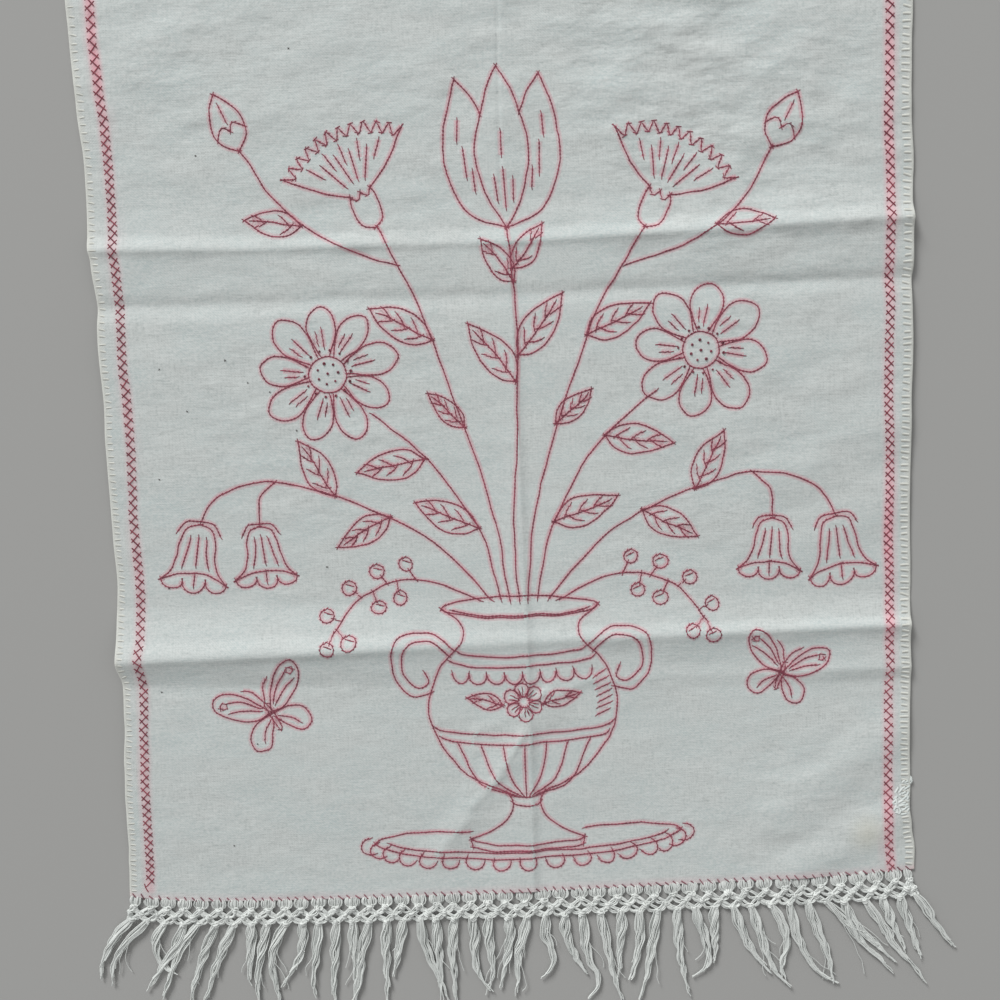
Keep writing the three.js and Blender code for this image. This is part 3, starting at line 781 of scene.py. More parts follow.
def grow(name, tree, paths, material, laid=False, **sizes):
    """Runs a geometry tree along the paths and gives the result as a plain mesh piece. Lengths
    among the sizes are in millimetres."""
    source = path_object(paths)
    modifier = source.modifiers.new(tree.name, "NODES")
    modifier.node_group = tree
    wanted = {"Material": material, **{size.replace("_", " "): value for size, value in sizes.items()}}
    for item in tree.interface.items_tree:
        if item.in_out == "INPUT" and item.name in wanted:
            value = wanted.pop(item.name)
            is_length = getattr(item, "subtype", "") == "DISTANCE"
            modifier[item.identifier] = value * MM if is_length else value
    assert not wanted, f"{tree.name} has no input named {sorted(wanted)}"
    graph = bpy.context.evaluated_depsgraph_get()
    mesh = bpy.data.meshes.new_from_object(source.evaluated_get(graph), depsgraph=graph)
    source.modifiers.remove(modifier)
    bpy.data.objects.remove(source)
    settle = lay_on_cloth if laid else press_on_table
    settle(mesh)
    return new_object(name, mesh)


# ------------------------------------------------------------------------------------- materials
def srgb(red, green, blue):
    """A colour as it is seen, from 0 to 255, as the shader's own linear colour."""
    def linear(value):
        value /= 255
        return value / 12.92 if value <= 0.04045 else ((value + 0.055) / 1.055) ** 2.4
    return (linear(red), linear(green), linear(blue), 1.0)


def new_material(name, roughness, sheen=0.0):
    """Gives a matt material, a function that adds nodes to it, and its shader."""
    material = bpy.data.materials.new(name)
    material.use_nodes = True
    shader = material.node_tree.nodes["Principled BSDF"]
    fill(shader, {"Roughness": roughness, "Sheen Weight": sheen, "Specular IOR Level": 0.25})
    return material, functools.partial(add, material.node_tree), shader


def stretched_noise(new, stretch, scale, detail=2.0):
    """Noise on object coordinates, drawn out along an axis by a stretch below 1."""
    place = new("ShaderNodeTexCoord", output="Object")
    mapped = new("ShaderNodeMapping", {"Vector": place, "Scale": stretch})
    return new("ShaderNodeTexNoise", {"Vector": mapped, "Scale": scale, "Detail": detail}, "Fac")


def mixed_colour(new, share, a, b):
    return new("ShaderNodeMix", {0: share, 6: a, 7: b}, 2, data_type="RGBA")


def ramp(new, value, low, high):
    return new("ShaderNodeMapRange", {"Value": value, "From Min": low, "From Max": high})


def kept_number(new, name):
    return new("ShaderNodeAttribute", output="Fac", attribute_name=name)


def woven_cotton():
    """Washed white cotton and linen in plain weave, with slubs, and a creamier tone on the hems."""
    material, new, shader = new_material("washed white plain weave", 0.92, sheen=0.08)
    x = new("ShaderNodeSeparateXYZ", {0: new("ShaderNodeTexCoord", output="Object")})
    thread_pitch = 0.8 * MM
    per_thread = math.pi / thread_pitch
    weave = (x * per_thread).sine() * (x.also("Y") * per_thread).sine()
    slubs = stretched_noise(new, (1, 9, 1), 130, 3.0) + stretched_noise(new, (9, 1, 1), 130, 3.0)
    blotches = stretched_noise(new, (1, 1.8, 1), 22, 4.0)
    grain = stretched_noise(new, (1, 1.6, 1), 620, 2.0)
    tone = srgb(178, 184, 182)
    for share, colour in (
        (ramp(new, slubs, 0.72, 1.28), srgb(206, 212, 210)),
        (ramp(new, blotches, 0.38, 0.68), srgb(186, 197, 196)),
        (ramp(new, grain, 0.3, 0.75), srgb(210, 214, 212)),
        (kept_number(new, "hem") * 0.45, srgb(210, 210, 202)),
        (kept_number(new, "dye") * 0.95, srgb(228, 172, 181)),
        (kept_number(new, "yellow") * 0.3, srgb(206, 200, 176)),
    ):
        tone = mixed_colour(new, share, tone, colour)
    relief = weave * 0.25 + slubs * 1.2
    woven = new("ShaderNodeBump", {"Strength": 0.4, "Distance": 0.25 * MM, "Height": relief})
    creased = stretched_noise(new, (1, 2.0, 1), 50) + stretched_noise(new, (1, 1.4, 1), 150) * 0.3
    puckered = new("ShaderNodeBump", {
        "Strength": 0.65, "Distance": 1.1 * MM, "Normal": woven,
        "Height": creased * (kept_number(new, "crumpled") + 0.25),
    })
    fill(shader, {"Base Color": tone, "Normal": puckered})
    return material


def thread_material(name, dark, light, roughness=0.9, sheen=0.1):
    """Spun thread: its tone changes from stitch to stitch and in patches, with a fine grain."""
    material, new, shader = new_material(name, roughness, sheen)
    patches = ramp(new, stretched_noise(new, (1, 1, 1), 130), 0.32, 0.68)
    fibres = stretched_noise(new, (1, 1, 1), 2600, 1.0)
    share = kept_number(new, "tone") * 0.4 + (patches * 0.4 + fibres * 0.2)
    bump = new("ShaderNodeBump", {"Strength": 0.4, "Distance": 0.1 * MM, "Height": fibres})
    fill(shader, {"Base Color": mixed_colour(new, share, srgb(*dark), srgb(*light)), "Normal": bump})
    return material


def pink_dye(strength):
    """Red dye that washing let out of the stitches: strongest under them, fading to both sides."""
    material, new, shader = new_material("washed out red dye", 0.95)
    from_middle = kept_number(new, "from_middle")
    patches = ramp(new, stretched_noise(new, (1, 1, 1), 40), 0.25, 0.6)
    alpha = (1.0 - from_middle * from_middle) * (patches * 0.5 + 0.5) * strength
    fill(shader, {"Base Color": srgb(220, 160, 170), "Alpha": alpha})
    return material


CLOTH = woven_cotton()
PINK_DYE = pink_dye(0.28)
FRINGE_COTTON = thread_material("soft white fringe cotton", (199, 203, 200), (230, 233, 230))
SEWING_COTTON = thread_material("white sewing cotton", (194, 196, 189), (220, 221, 214))
DARNING_COTTON = thread_material("white darning cotton", (196, 204, 201), (228, 232, 230))
STEM_COTTON = thread_material("washed red stem stitch cotton", (104, 57, 67), (162, 79, 96), 0.75)
RED_COTTON = thread_material("washed red embroidery cotton", (112, 46, 60), (170, 88, 100), 0.75)
FADED_RED_COTTON = thread_material("faded red cotton", (100, 58, 70), (164, 110, 120), 0.75)
SEED_FLECK = thread_material("brown cotton seed flecks", (70, 66, 66), (96, 90, 88), sheen=0.0)

STITCHES = stitches_tree()
STRANDS = strands_tree()
KNOTS = knots_tree()
DYE = dye_tree()


# ---------------------------------------------------------------------------------- the woven cloth
def graded(start, stops):
    """Places from start on, in even steps as near as fits to each stop's spacing: (stop, spacing)."""
    places = [start]
    for stop, spacing in stops:
        first = places[-1]
        count = max(1, round((stop - first) / spacing))
        places += [mix(first, stop, (n + 1) / count) for n in range(count)]
    return places


def cloth_columns():
    """Distances from the left edge: close together at the hems and the lengthwise crease."""
    left = graded(0, HEM_COLUMNS)
    right = [CLOTH_WIDTH - place for place in reversed(left)]
    return left + graded(left[-1], MIDDLE_COLUMNS)[1:-1] + right


def cloth_rows():
    """(cross line below, share of the way to the next): close together on the folds."""
    rows = []
    for k, (below, above) in enumerate(zip(CROSS_LINES, CROSS_LINES[1:])):
        gap = above[0] - below[0]
        spacing = next(spacing for widest, spacing in ROW_SPACINGS if gap < widest)
        count = max(2, round(gap / spacing))
        rows += [(k, n / count) for n in range(count)]
    last = len(CROSS_LINES) - 2
    edge = [(0, share) for share in LOWER_EDGE_ROWS]
    hem = [(last, 1 - share) for share in TOP_HEM_ROWS]
    return sorted(set(rows + edge + hem)) + [(last, 1.0)]


def cloth_mesh():
    columns, rows = cloth_columns(), cloth_rows()
    places, tops, unders = [], [], []
    for k, share_up in rows:
        (left_low, right_low, _), (left_high, right_high, _) = CROSS_LINES[k], CROSS_LINES[k + 1]
        for column in columns:
            share = column / CLOTH_WIDTH
            up = mix(mix(left_low, right_low, share), mix(left_high, right_high, share), share_up)
            across = mix(left_edge(up), right_edge(up), share)
            under = underside(across, up)
            placed_up = up + bow(across, up)
            places.append((across, up))
            tops.append(in_frame(across, placed_up, under + thickness(across, up)))
            unders.append(in_frame(across, placed_up, under))
    wide, high, count = len(columns), len(rows), len(places)
    faces = []
    for row in range(high - 1):
        for column in range(wide - 1):
            a = row * wide + column
            corners = (a, a + 1, a + wide + 1, a + wide)
            faces.append(corners)
            faces.append(tuple(count + corner for corner in reversed(corners)))
    rim = [*range(wide - 1), *[row * wide + wide - 1 for row in range(high - 1)],
           *[(high - 1) * wide + column for column in range(wide - 1, 0, -1)],
           *[row * wide for row in range(high - 1, 0, -1)]]
    for here, there in zip(rim, rim[1:] + rim[:1]):
        faces.append((count + here, count + there, there, here))
    mesh = bpy.data.meshes.new("woven_cloth")
    mesh.from_pydata(tops + unders, [], faces)
    for name, share_at in (("hem", pale_hem_share), ("dye", dye_share), ("yellow", yellow_share),
                           ("crumpled", crumpled_share)):
        values = [share_at(across, up) for across, up in places]
        mesh.attributes.new(name, "FLOAT", "POINT").data.foreach_set("value", values * 2)
    mesh.shade_smooth()
    mesh.materials.append(CLOTH)
    return mesh


woven_cloth = new_object("woven_cloth", cloth_mesh())
cloth_faces = BVHTree.FromPolygons(
    [vertex.co for vertex in woven_cloth.data.vertices],
    [tuple(face.vertices) for face in woven_cloth.data.polygons],
)


# -------------------------------------------------------------------------- borders and hemstitching
def stitch_path(across_at, low, high, proud, step_at):
    """The middles of stitches on their way up the cloth, each step_at(up) above the one before."""
    path, up = [], low
    while up < high:
        path.append(on_cloth(across_at(up), up, proud))
        up += step_at(up)
    return path


def herringbone_column(table, side, low):
    def half_a_pair(up):
        return read_table(HERRINGBONE_PITCH, up, side) / 2

    return stitch_path(functools.partial(read_table, table), low, HERRINGBONE_TOP, -0.1, half_a_pair)


def ladder(name, across_at, side, length, width, seed):
    """Hemstitches that get further apart on their way up the hem."""
    def gap(up):
        return read_table(LADDER_PITCH, up, side) * (1 + 0.3 * wander(up, side))

    path = stitch_path(across_at, LADDER_START, LADDER_TOP, -0.04, gap)
    return grow(name, STITCHES, [path], SEWING_COTTON, laid=True, Even_steps=False,
                Stitch_length=length, Thread_width=width, Arch=0.25, Flatness=0.15,
                Lean=math.radians(85), Unevenness=0.2, Seed=seed)


herringbone = grow(
    "herringbone_borders", STITCHES,
    [herringbone_column(LEFT_HERRINGBONE, 1, LEFT_HERRINGBONE_START),
     herringbone_column(RIGHT_HERRINGBONE, 2, RIGHT_HERRINGBONE_START)],
    RED_COTTON, laid=True, Even_steps=False, Stitch_length=7.5, Thread_width=0.72,
    Arch=0.05, Lean=math.radians(-42.5), Swap_sides=True, Unevenness=0.06, Seed=11,
)
loose_end = grow(
    "herringbone_loose_end", STRANDS,
    [[(on_cloth(across, up, 0.1), 0.2 * MM) for across, up in LOOSE_END]],
    RED_COTTON, laid=True, Strands=2, Thread_radius=0.28, Depth=0.1, Waver=0.05, Seed=12,
)
left_ladder = ladder("left_ladder_hemstitches", lambda up: left_edge(up) + 3.2, 1, 3.4, 1.35, 21)
right_ladder = ladder("right_ladder_hemstitches", lambda up: right_edge(up) - 4, 2, 4.6, 1.9, 22)


# ---------------------------------------------------------------------------------- the knotted fringe
def bundle_start(number):
    past = number - SPACING_CHANGE_BUNDLE
    across = SPACING_CHANGE_ACROSS + past * (LEFT_SPACING if past < 0 else RIGHT_SPACING)
    return clamp(across, -CLOTH_WIDTH / 2, CLOTH_WIDTH / 2)


def knot_at(across, depth, number, salt):
    share = across / CLOTH_WIDTH + 0.5
    fan = mix(NET_FAN_LEFT, NET_FAN_RIGHT, share) * depth / THIRD_KNOT_DEPTH
    return (
        across + fan + KNOT_WANDER * wander(number, salt),
        lower_edge(across) - depth * mix(*NET_DEPTH, share) + 0.5 * KNOT_WANDER * wander(number, salt + 1),
    )


def bundle(number):
    start, end = bundle_start(number), bundle_start(number + 1)
    middle = (start + end) / 2
    second_across = min(end, CLOTH_WIDTH / 2 - KNOT_RADIUS)
    return {
        "middle": middle,
        "half_width": (end - start - BUNDLE_SLIT) / 2,
        "first": knot_at(middle, FIRST_KNOT_DEPTH, number, FIRST_KNOT_SALT),
        "second": knot_at(second_across, SECOND_KNOT_DEPTH, number, SECOND_KNOT_SALT),
        "third": knot_at(middle, THIRD_KNOT_DEPTH, number, THIRD_KNOT_SALT),
    }


bundles = [bundle(number) for number in range(BUNDLES)]
left_corner_knot = knot_at(KNOT_RADIUS - CLOTH_WIDTH / 2, SECOND_KNOT_DEPTH, BUNDLES, SECOND_KNOT_SALT)
knot_places = [left_corner_knot] + [here[row] for here in bundles for row in ("first", "second", "third")]


def arc(start, end, sag, widths, steps=6, level=THREAD_LEVEL):
    """A guide from one place to another that sags sideways by that share of its length. Its half
    width goes through the given widths in turn."""
    (x0, y0), (x1, y1) = start, end
    path = []
    for n in range(steps + 1):
        t = n / steps
        side = sag * 4 * t * (1 - t)
        x, y = mix(x0, x1, t) + side * (y1 - y0), mix(y0, y1, t) - side * (x1 - x0)
        height = level + 0.5 * math.sin(math.pi * t)
        path.append((in_frame(x, y, height), between(widths, t * (len(widths) - 1)) * MM))
    return path


def head_guides():
    """Each bundle hangs from the cloth's edge as a round bowl of threads drawn into its knot."""
    guides = []
    for here in bundles:
        top = (here["middle"], lower_edge(here["middle"]) + 0.8)
        widths = [share * max(1.0, here["half_width"]) for share in HEAD_HALF_WIDTHS]
        guides.append(arc(top, here["first"], 0, widths, steps=8, level=0.7))
    return guides


def leg_guides():
    """Each leg of the net is two cords of thread that part and meet again between its knots."""
    guides = []
    before = left_corner_knot
    for number, here in enumerate(bundles):
        first, second, third = here["first"], here["second"], here["third"]
        legs_here = [(first, before, -0.12), (first, second, 0.12),
                     (before, third, 0.15), (second, third, -0.15)]
        for leg, (start, end, sag) in enumerate(legs_here):
            apart = 0.16 + 0.1 * wander(number, 21 + leg)
            for side in (-1, 1):
                level = THREAD_LEVEL + 0.3 * side * wander(number, 25 + leg)
                guides.append(arc(start, end, sag + side * apart, CORD_HALF_WIDTHS, level=level))
        before = second
    return guides


def knot_guides(turn, salt):
    """A short line through each knot, turned by that much from straight down, give or take."""
    guides = []
    for number, (x, y) in enumerate(knot_places):
        angle = turn + 0.9 * wander(number, salt)
        across, up = math.sin(angle), math.cos(angle)
        x, y = x + 0.5 * wander(number, salt + 1), y + 0.5 * wander(number, salt + 2)
        guides.append([in_frame(x - across, y - up, THREAD_LEVEL),
                       in_frame(x + across, y + up, THREAD_LEVEL + 0.1)])
    return guides


def loop_guides():
    """The turns of thread that stand out to both sides of each knot."""
    guides = []
    for number, (x, y) in enumerate(knot_places):
        for side in (-1, 1):
            salt = 80 + 5 * side
            across, up = x + side * (1.1 + 0.6 * wander(number, salt)), y - 0.1 + wander(number, salt + 1)
            radius = 1.25 + 0.5 * wander(number, salt + 2)
            first = 2 * math.pi * wander(number, salt + 3)
            loop = []
            for n in range(9):
                angle = first + math.radians(300) * n / 8
                height = THREAD_LEVEL + 0.75 + 0.35 * math.sin(angle + number)
                place = across + radius * math.cos(angle), up + 0.8 * radius * math.sin(angle)
                loop.append((in_frame(*place, height), 0.36 * MM))
            guides.append(loop)
    return guides


def tassel_course(number, aside=0.0, longer=1.0, steps=21):
    """Places down a tassel, from its knot to its tip, as (share, across, up). "aside" turns a stray
    thread's course away from its tassel's by that many degrees at its tip."""
    *directions, length = TASSELS[number]
    x, y = bundles[number]["third"]
    course = []
    for n in range(steps + 1):
        share = n / steps
        course.append((share, x, y))
        direction = between(directions, clamp(share * 4 - 0.5, 0.0, 3.0))
        angle = math.radians(direction) + math.radians(aside) * share
        x += math.sin(angle) * length * longer / steps
        y -= math.cos(angle) * length * longer / steps
    return course


def lock_guides():
    """Each tassel is three locks of crimped thread that twist loosely round each other and thin out."""
    guides = []
    for number in range(BUNDLES):
        course, length = tassel_course(number), TASSELS[number][4]
        for lock in range(LOCKS):
            guide = []
            for share, x, y in course:
                half = eased_between(TASSEL_HALF_WIDTHS, share)
                twist = 2 * math.pi * lock / LOCKS + 1.9 * number + (6 + 6 * wander(number, 41)) * share
                crimp = math.sin(2 * math.pi * (share * length / CRIMP_LENGTH + wander(number, 41 + lock)))
                aside = 0.6 * half * math.cos(twist) + 0.4 * ease(share / 0.3) * crimp
                height = THREAD_LEVEL + 0.45 + 0.3 * half * math.sin(twist) * (1 - 0.6 * share)
                guide.append((in_frame(x + aside, y, height), 0.5 * half * mix(1.0, 0.5, share) * MM))
            guides.append(guide)
    return guides


def stray_guides():
    """Single threads that have come away from their tassels."""
    guides = []
    for number in range(BUNDLES):
        for way in range(1 + 3 * (number in RAGGED_TASSELS)):
            aside = 60 * wander(number, 51 + way)
            course = tassel_course(number, aside, 0.75 + 0.4 * wander(number, 61 + way))
            guides.append([(in_frame(x, y, 1.1 + 0.8 * math.sin(3.1 * share)), 0.3 * MM)
                           for share, x, y in course])
    return guides


heads = grow("fringe_bundle_heads", STRANDS, head_guides(), FRINGE_COTTON, Strands=18,
             Thread_radius=0.36, Depth=0.9, Waver=0.25, Waver_size=5, Shortening=0.0, Seed=31)
legs = grow("fringe_net", STRANDS, leg_guides(), FRINGE_COTTON, Strands=5,
            Thread_radius=0.42, Depth=0.8, Waver=0.3, Waver_size=5, Shortening=0.0, Seed=32)
knots = grow("fringe_knots", KNOTS, knot_guides(0.0, 9), FRINGE_COTTON, Knot_radius=1.5,
             Knot_length=2.4, Thread_radius=0.6, Unevenness=0.3, Seed=33)
knot_ends = grow("fringe_knot_ends", KNOTS, knot_guides(1.3, 14), FRINGE_COTTON, Knot_radius=0.8,
                 Knot_length=2.6, Thread_radius=0.45, Unevenness=0.35, Seed=35)
loops = grow("fringe_knot_loops", STRANDS, loop_guides(), FRINGE_COTTON, Strands=2,
             Thread_radius=0.34, Depth=0.3, Waver=0.2, Waver_size=4, Shortening=0.2, Seed=37)
tassels = grow("fringe_tassels", STRANDS, lock_guides(), FRINGE_COTTON, Strands=5, Thread_radius=0.36,
               Depth=0.8, Waver=0.5, Waver_size=12, Shortening=0.35, Taper=0.5, Seed=34)
strays = grow("fringe_stray_threads", STRANDS, stray_guides(), FRINGE_COTTON, Strands=1, Thread_radius=0.22,
              Depth=0.5, Waver=1.8, Waver_size=17, Shortening=0.3, Taper=0.4, Seed=36)

whip_path = [on_cloth(across, WHIP_LEVEL, 0.15) for across in range(-247, 249, 3)]
whip = grow("whip_stitches", STITCHES, [whip_path], FADED_RED_COTTON, laid=True, Spacing=5.5,
            Stitch_length=3.9, Thread_width=0.78, Arch=0.15, Lean=math.radians(-47),
            Unevenness=0.24, Seed=41)


# -------------------------------------------------------------------- the darned mend and the flecks
def mend_column(across, low, high, salt):
    """The middles of darning stitches on their way up the hem, each a little out of line."""
    return [
        on_cloth(across + 1.4 * wander(n, salt), low + MEND_STEP * (n + wander(n, salt + 1)), -0.05)
        for n in range(round((high - low) / MEND_STEP))
    ]


mend = grow(
    "darned_mend", STITCHES,
    [mend_column(*column, 71 + 2 * n) for n, column in enumerate(MEND_COLUMNS)],
    DARNING_COTTON, laid=True, Even_steps=False, Stitch_length=2.8, Thread_width=1.6,
    Arch=0.3, Flatness=0.15, Lean=math.radians(48), Swap_sides=True, Unevenness=0.6, Seed=71,
)
loose_loops = grow(
    "mend_loops", STRANDS,
    [arc((right_edge(60) - 1.6, 62), (right_edge(57) - 1.6, 57.6), -0.55, [0.5, 0.5], level=0.9),
     arc((right_edge(58) - 1.2, 60.5), (right_edge(55) - 1.2, 56), -0.35, [0.5, 0.5], level=1.1)],
    DARNING_COTTON, Strands=3, Thread_radius=0.32, Depth=0.5, Waver=0.4, Waver_size=4,
    Shortening=0.0, Seed=72,
)
flecks = grow(
    "seed_flecks", STITCHES,
    [[on_cloth(across, up, 0.02), on_cloth(across + 0.3, up + 0.25, 0.02)] for across, up in SEED_FLECKS],
    SEED_FLECK, laid=True, Even_steps=False, Stitch_length=0.9, Thread_width=0.42, Arch=0.02,
    Lean=math.radians(60), Swap_sides=True, Unevenness=0.4, Seed=81,
)


# ------------------------------------------------------------------- the redwork: shapes to draw
def smooth(stops, steps=8):
    """A flowing line through the stops, (across, up), in that many steps from each to the next. One
    step gives straight lines."""
    around = [stops[0], *stops, stops[-1]]
    line = []
    for k in range(1, len(stops)):
        for n in range(steps):
            t = n / steps
            line.append(tuple(
                0.5 * (2 * b + (c - a) * t + (2 * a - 5 * b + 4 * c - d) * t * t
                       + (3 * b - a - 3 * c + d) * t ** 3)
                for a, b, c, d in zip(*around[k - 1:k + 3])))
    line.append(stops[-1])
    return line


def flowing(*rows):
    """A drawing of flowing lines, each (steps, stop, stop, ...)."""
    return [smooth(stops, steps) for steps, *stops in rows]


def placed(drawing, at=(0, 0), turn=0.0, size=1.0, flip=False):
    """A drawing moved to its place: turned by degrees to the left, enlarged, or flipped across."""
    c, s = math.cos(math.radians(turn)) * size, math.sin(math.radians(turn)) * size
    moved = []
    for line in drawing:
        points = [(-x if flip else x, y) for x, y in line]
        moved.append([(at[0] + c * x - s * y, at[1] + s * x + c * y) for x, y in points])
    return moved


def both_sides(drawing):
    return drawing + placed(drawing, flip=True)


def spot(radius, degrees, centre):
    angle = math.radians(degrees)
    return (centre[0] + radius * math.cos(angle), centre[1] + radius * math.sin(angle))


def ring(radius_across, radius_up, start=0, end=360, centre=(0, 0), steps=28):
    angles = [math.radians(mix(start, end, n / steps)) for n in range(steps + 1)]
    return [(centre[0] + radius_across * math.cos(a), centre[1] + radius_up * math.sin(a)) for a in angles]


def leaf(length, width, veins):
    """An almond leaf that starts at its foot and points up, with a midrib and side veins."""
    half = width / 2
    edge = smooth([(0, 0), (half * 0.72, length * 0.17), (half, length * 0.42),
                   (half * 0.7, length * 0.72), (0, length)])
    drawing = [edge, [(-x, y) for x, y in edge], smooth([(0, 0), (0.5, length * 0.5), (0, length * 0.86)])]
    for n in range(veins):
        share = n / (veins - 1)
        low, reach = mix(0.16, 0.62, share) * length, half * mix(0.62, 0.42, share)
        for way, foot in ((-1, low + 0), (1, low + 0.06 * length)):
            drawing += flowing((3, (0, foot), (way * reach * 0.55, foot + length * 0.065),
                                (way * reach, foot + length * 0.16)))
    return drawing


def daisy(radius, petals, heart=DAISY_HEART):
    """Round petals about a ring, each with two short lines on it."""
    drawing = [ring(radius * heart, radius * heart * 0.94)]
    spread = math.radians(180 / petals * 0.93)
    foot = radius * heart * 1.04
    narrow = foot * math.tan(spread * 0.8)
    for n in range(petals):
        long = radius * (1.0 if n % 2 else 0.94)
        wide = long * math.tan(spread)
        petal = flowing(
            (5, (-narrow, foot), (-wide * 0.62, long * 0.6), (-wide * 0.58, long * 0.84),
             (-wide * 0.2, long * 0.985), (wide * 0.22, long), (wide * 0.6, long * 0.83),
             (wide * 0.6, long * 0.58), (narrow, foot)),
            (1, (0, long * 0.4), (0.4, long * 0.66)),
            (1, (-wide * 0.24, long * 0.46), (-wide * 0.26, long * 0.6)),
        )
        drawing += placed(petal, turn=n * 360 / petals)
    return drawing


def daisy_knots(radius):
    """Where a daisy's french knots sit: round its ring and over its heart."""
    rows = [(radius * DAISY_HEART * 1.22, 14), (radius * DAISY_HEART * 0.55, 7), (0.0, 1)]
    return [(r * math.cos(2 * math.pi * n / count), r * math.sin(2 * math.pi * n / count))
            for r, count in rows for n in range(count)]


def tulip():
    half = flowing(
        (8, (0, 0), (-22, 9), (-34, 34), (-33, 62), (-25, 88)),
        (4, (-25, 88), (-17, 78), (-12, 66)),
        (5, (-12, 66), (-7, 82), (0, 94)),
        (8, (-12, 66), (-16, 44), (-11, 20), (0, 0)),
        (1, (-22, 30), (-23, 48)), (1, (-26, 52), (-25, 64)), (1, (-17, 22), (-18, 34)),
    )
    middle = flowing((1, (0, 12), (0.5, 34)), (1, (-4.5, 16), (-5, 30)), (1, (4.5, 16), (5.5, 28)),
                     (1, (0, 42), (0, 56)))
    return both_sides(half) + middle


def pink():
    """A fan-shaped garden pink: a long cup, toothed petals and rays."""
    drawing = both_sides(flowing(
        (4, (0, 0), (-6, 4), (-7.5, 15), (-6, 21)),
        (5, (-6, 21), (-20, 29), (-35, 43)),
        (4, (-6, 21), (-3, 17.5), (0, 21)),
    ))
    last = 22
    drawing.append([spot(53 - (6.5 if n % 2 else 0), mix(131.5, 48.5, n / last), (0, 3.4))
                    for n in range(last + 1)])
    for angles, (near, near_up), (far, far_up) in (
        ((112, 97, 83, 68), (16, 12), (35, 8)),
        ((120, 104, 90, 76, 60), (30, 8), (41, 6)),
    ):
        drawing += [[spot(near, angle, (0, near_up)), spot(far, angle, (0, far_up))] for angle in angles]
    return drawing


def bellflower():
    """A bell that hangs from its stem, with three round lobes at its mouth."""
    half = flowing((8, (0, 0), (-8, -3), (-11.5, -12), (-12.5, -22), (-15.5, -31), (-22, -38)))
    half.append(ring(7.2, 6, 180, 360, (-14.8, -38), 9))
    half += flowing(
        (5, (-22, -38), (-11, -33.5), (0, -32)),
        (4, (-1, 2), (-9, 1), (-14, -6)),
        (4, (-5, -9), (-6.5, -19), (-8.5, -28)),
    )
    lobe = ring(7.6, 7.4, 180, 360, (0, -38), 10)
    return both_sides(half) + [lobe, [(0, -8), (0, -27)], [(0, -33), (0, -41)]]


def bud():
    half = flowing((5, (0, 0), (-6, 5), (-7.5, 13), (-4, 21), (0, 26)), (4, (-7, 8), (-3, 12), (0, 9)))
    return both_sides(half) + [[(0, 13), (0, 21)]]


def berry():
    return [ring(BERRY_RADIUS, BERRY_RADIUS, 100, 440, steps=12), [(-1.6, 1.2), (0.4, 2.0)]]


def butterfly():
    wing = flowing(
        (8, (1, 2), (8, 14), (19, 24), (29, 25), (31, 17), (24, 7), (12, 0), (1, 0)),
        (8, (1, -1), (12, -2), (21, -9), (20, -18), (12, -20), (5, -12), (1, -4)),
        (4, (5, 6), (13, 14), (22, 19)),
        (4, (6, 4), (15, 9), (24, 12)),
        (3, (4, -5), (10, -10), (13, -15)),
    )
    wing.append(ring(2.2, 2.2, centre=(25.5, 18.5), steps=9))
    wing += flowing((4, (0.6, 9), (4, 17), (9, 21)))
    return both_sides(wing) + [ring(1.6, 11, centre=(0, -3), steps=16)]


def urn():
    """A two-handled urn: its outline and handles, bands, scallops, flutes and shading."""
    drawing = both_sides(flowing(
        (8, (0, 27), (-22, 27.5), (-35, 30)),
        (1, (-35, 30), (-36, 35)),
        (8, (-36, 35), (-22, 40), (-12, 47), (-9, 56), (-12, 63)),
        (8, (-12, 63), (-36, 75), (-54, 96), (-59, 119), (-53, 139), (-41, 154)),
        (8, (-41, 154), (-36, 161), (-37, 169), (-49, 179)),
        (8, (-45, 150), (-58, 160), (-72, 156), (-75, 141), (-66, 130), (-59, 133), (-61, 140)),
        (8, (-42, 154), (-57, 165), (-77, 161), (-81, 141), (-70, 125), (-57, 127)),
    ))
    for radius_across, radius_up, start, end, level, steps in URN_BANDS:
        drawing.append(ring(radius_across, radius_up, start, end, (0, level), steps))
    for n in range(8):  # scallops under the neck band
        across = mix(-38, 38, n / 7)
        level = 141.5 - 5.5 * math.sqrt(max(0, 1 - (across / 46) ** 2)) + 0.8
        drawing.append(ring(5.4, 6.5, 180, 360, (across, level), 10))
    for n in range(-3, 4):  # flutes on the lower body
        drawing += flowing((5, (n * 2.6, 61.5), (n * 9.5, 72 - 0.3 * n * n), (n * 13.8, 90.5 + 0.35 * n * n)))
    for n in range(7):  # hatching down the shaded side
        low = 112 + 4.2 * n
        drawing.append([(55 - 0.12 * (n - 2) ** 2 * 2.2, low), (47.5 - 0.8 * abs(n - 2), low - 3.4)])
    return drawing


def mat():
    """A crocheted mat under the urn: two curved lines and a scalloped edge."""
    drawing = [ring(98, 15, 186, 354, (0, 37), 40), ring(90, 11, 191, 349, (0, 37), 36)]
    drawing += both_sides(flowing((8, (-36, 40), (-70, 41), (-92, 38), (-97.5, 35))))
    for n in range(17):
        angle = math.radians(mix(193, 347, n / 16))
        centre = (103 * math.cos(angle), 37 + 17 * math.sin(angle))
        drawing.append(ring(5.6, 5.2, math.degrees(angle) - 105, math.degrees(angle) + 105, centre, 9))
    return drawing


# ---------------------------------------------------------------------- the redwork: its layout
redwork = {"urn": [], "stems_and_leaves": [], "flowers": []}
french_knots = []


def draw(part, drawing, at, **how):
    redwork[part] += placed(drawing, at, **how)


def draw_flower(drawing, at, **how):
    draw("flowers", drawing, at, **how)


def draw_daisy(at, radius, petals, turn):
    draw_flower(daisy(radius, petals), at, turn=turn)
    french_knots.extend(line[0] for line in placed([[place] for place in daisy_knots(radius)], at, turn))


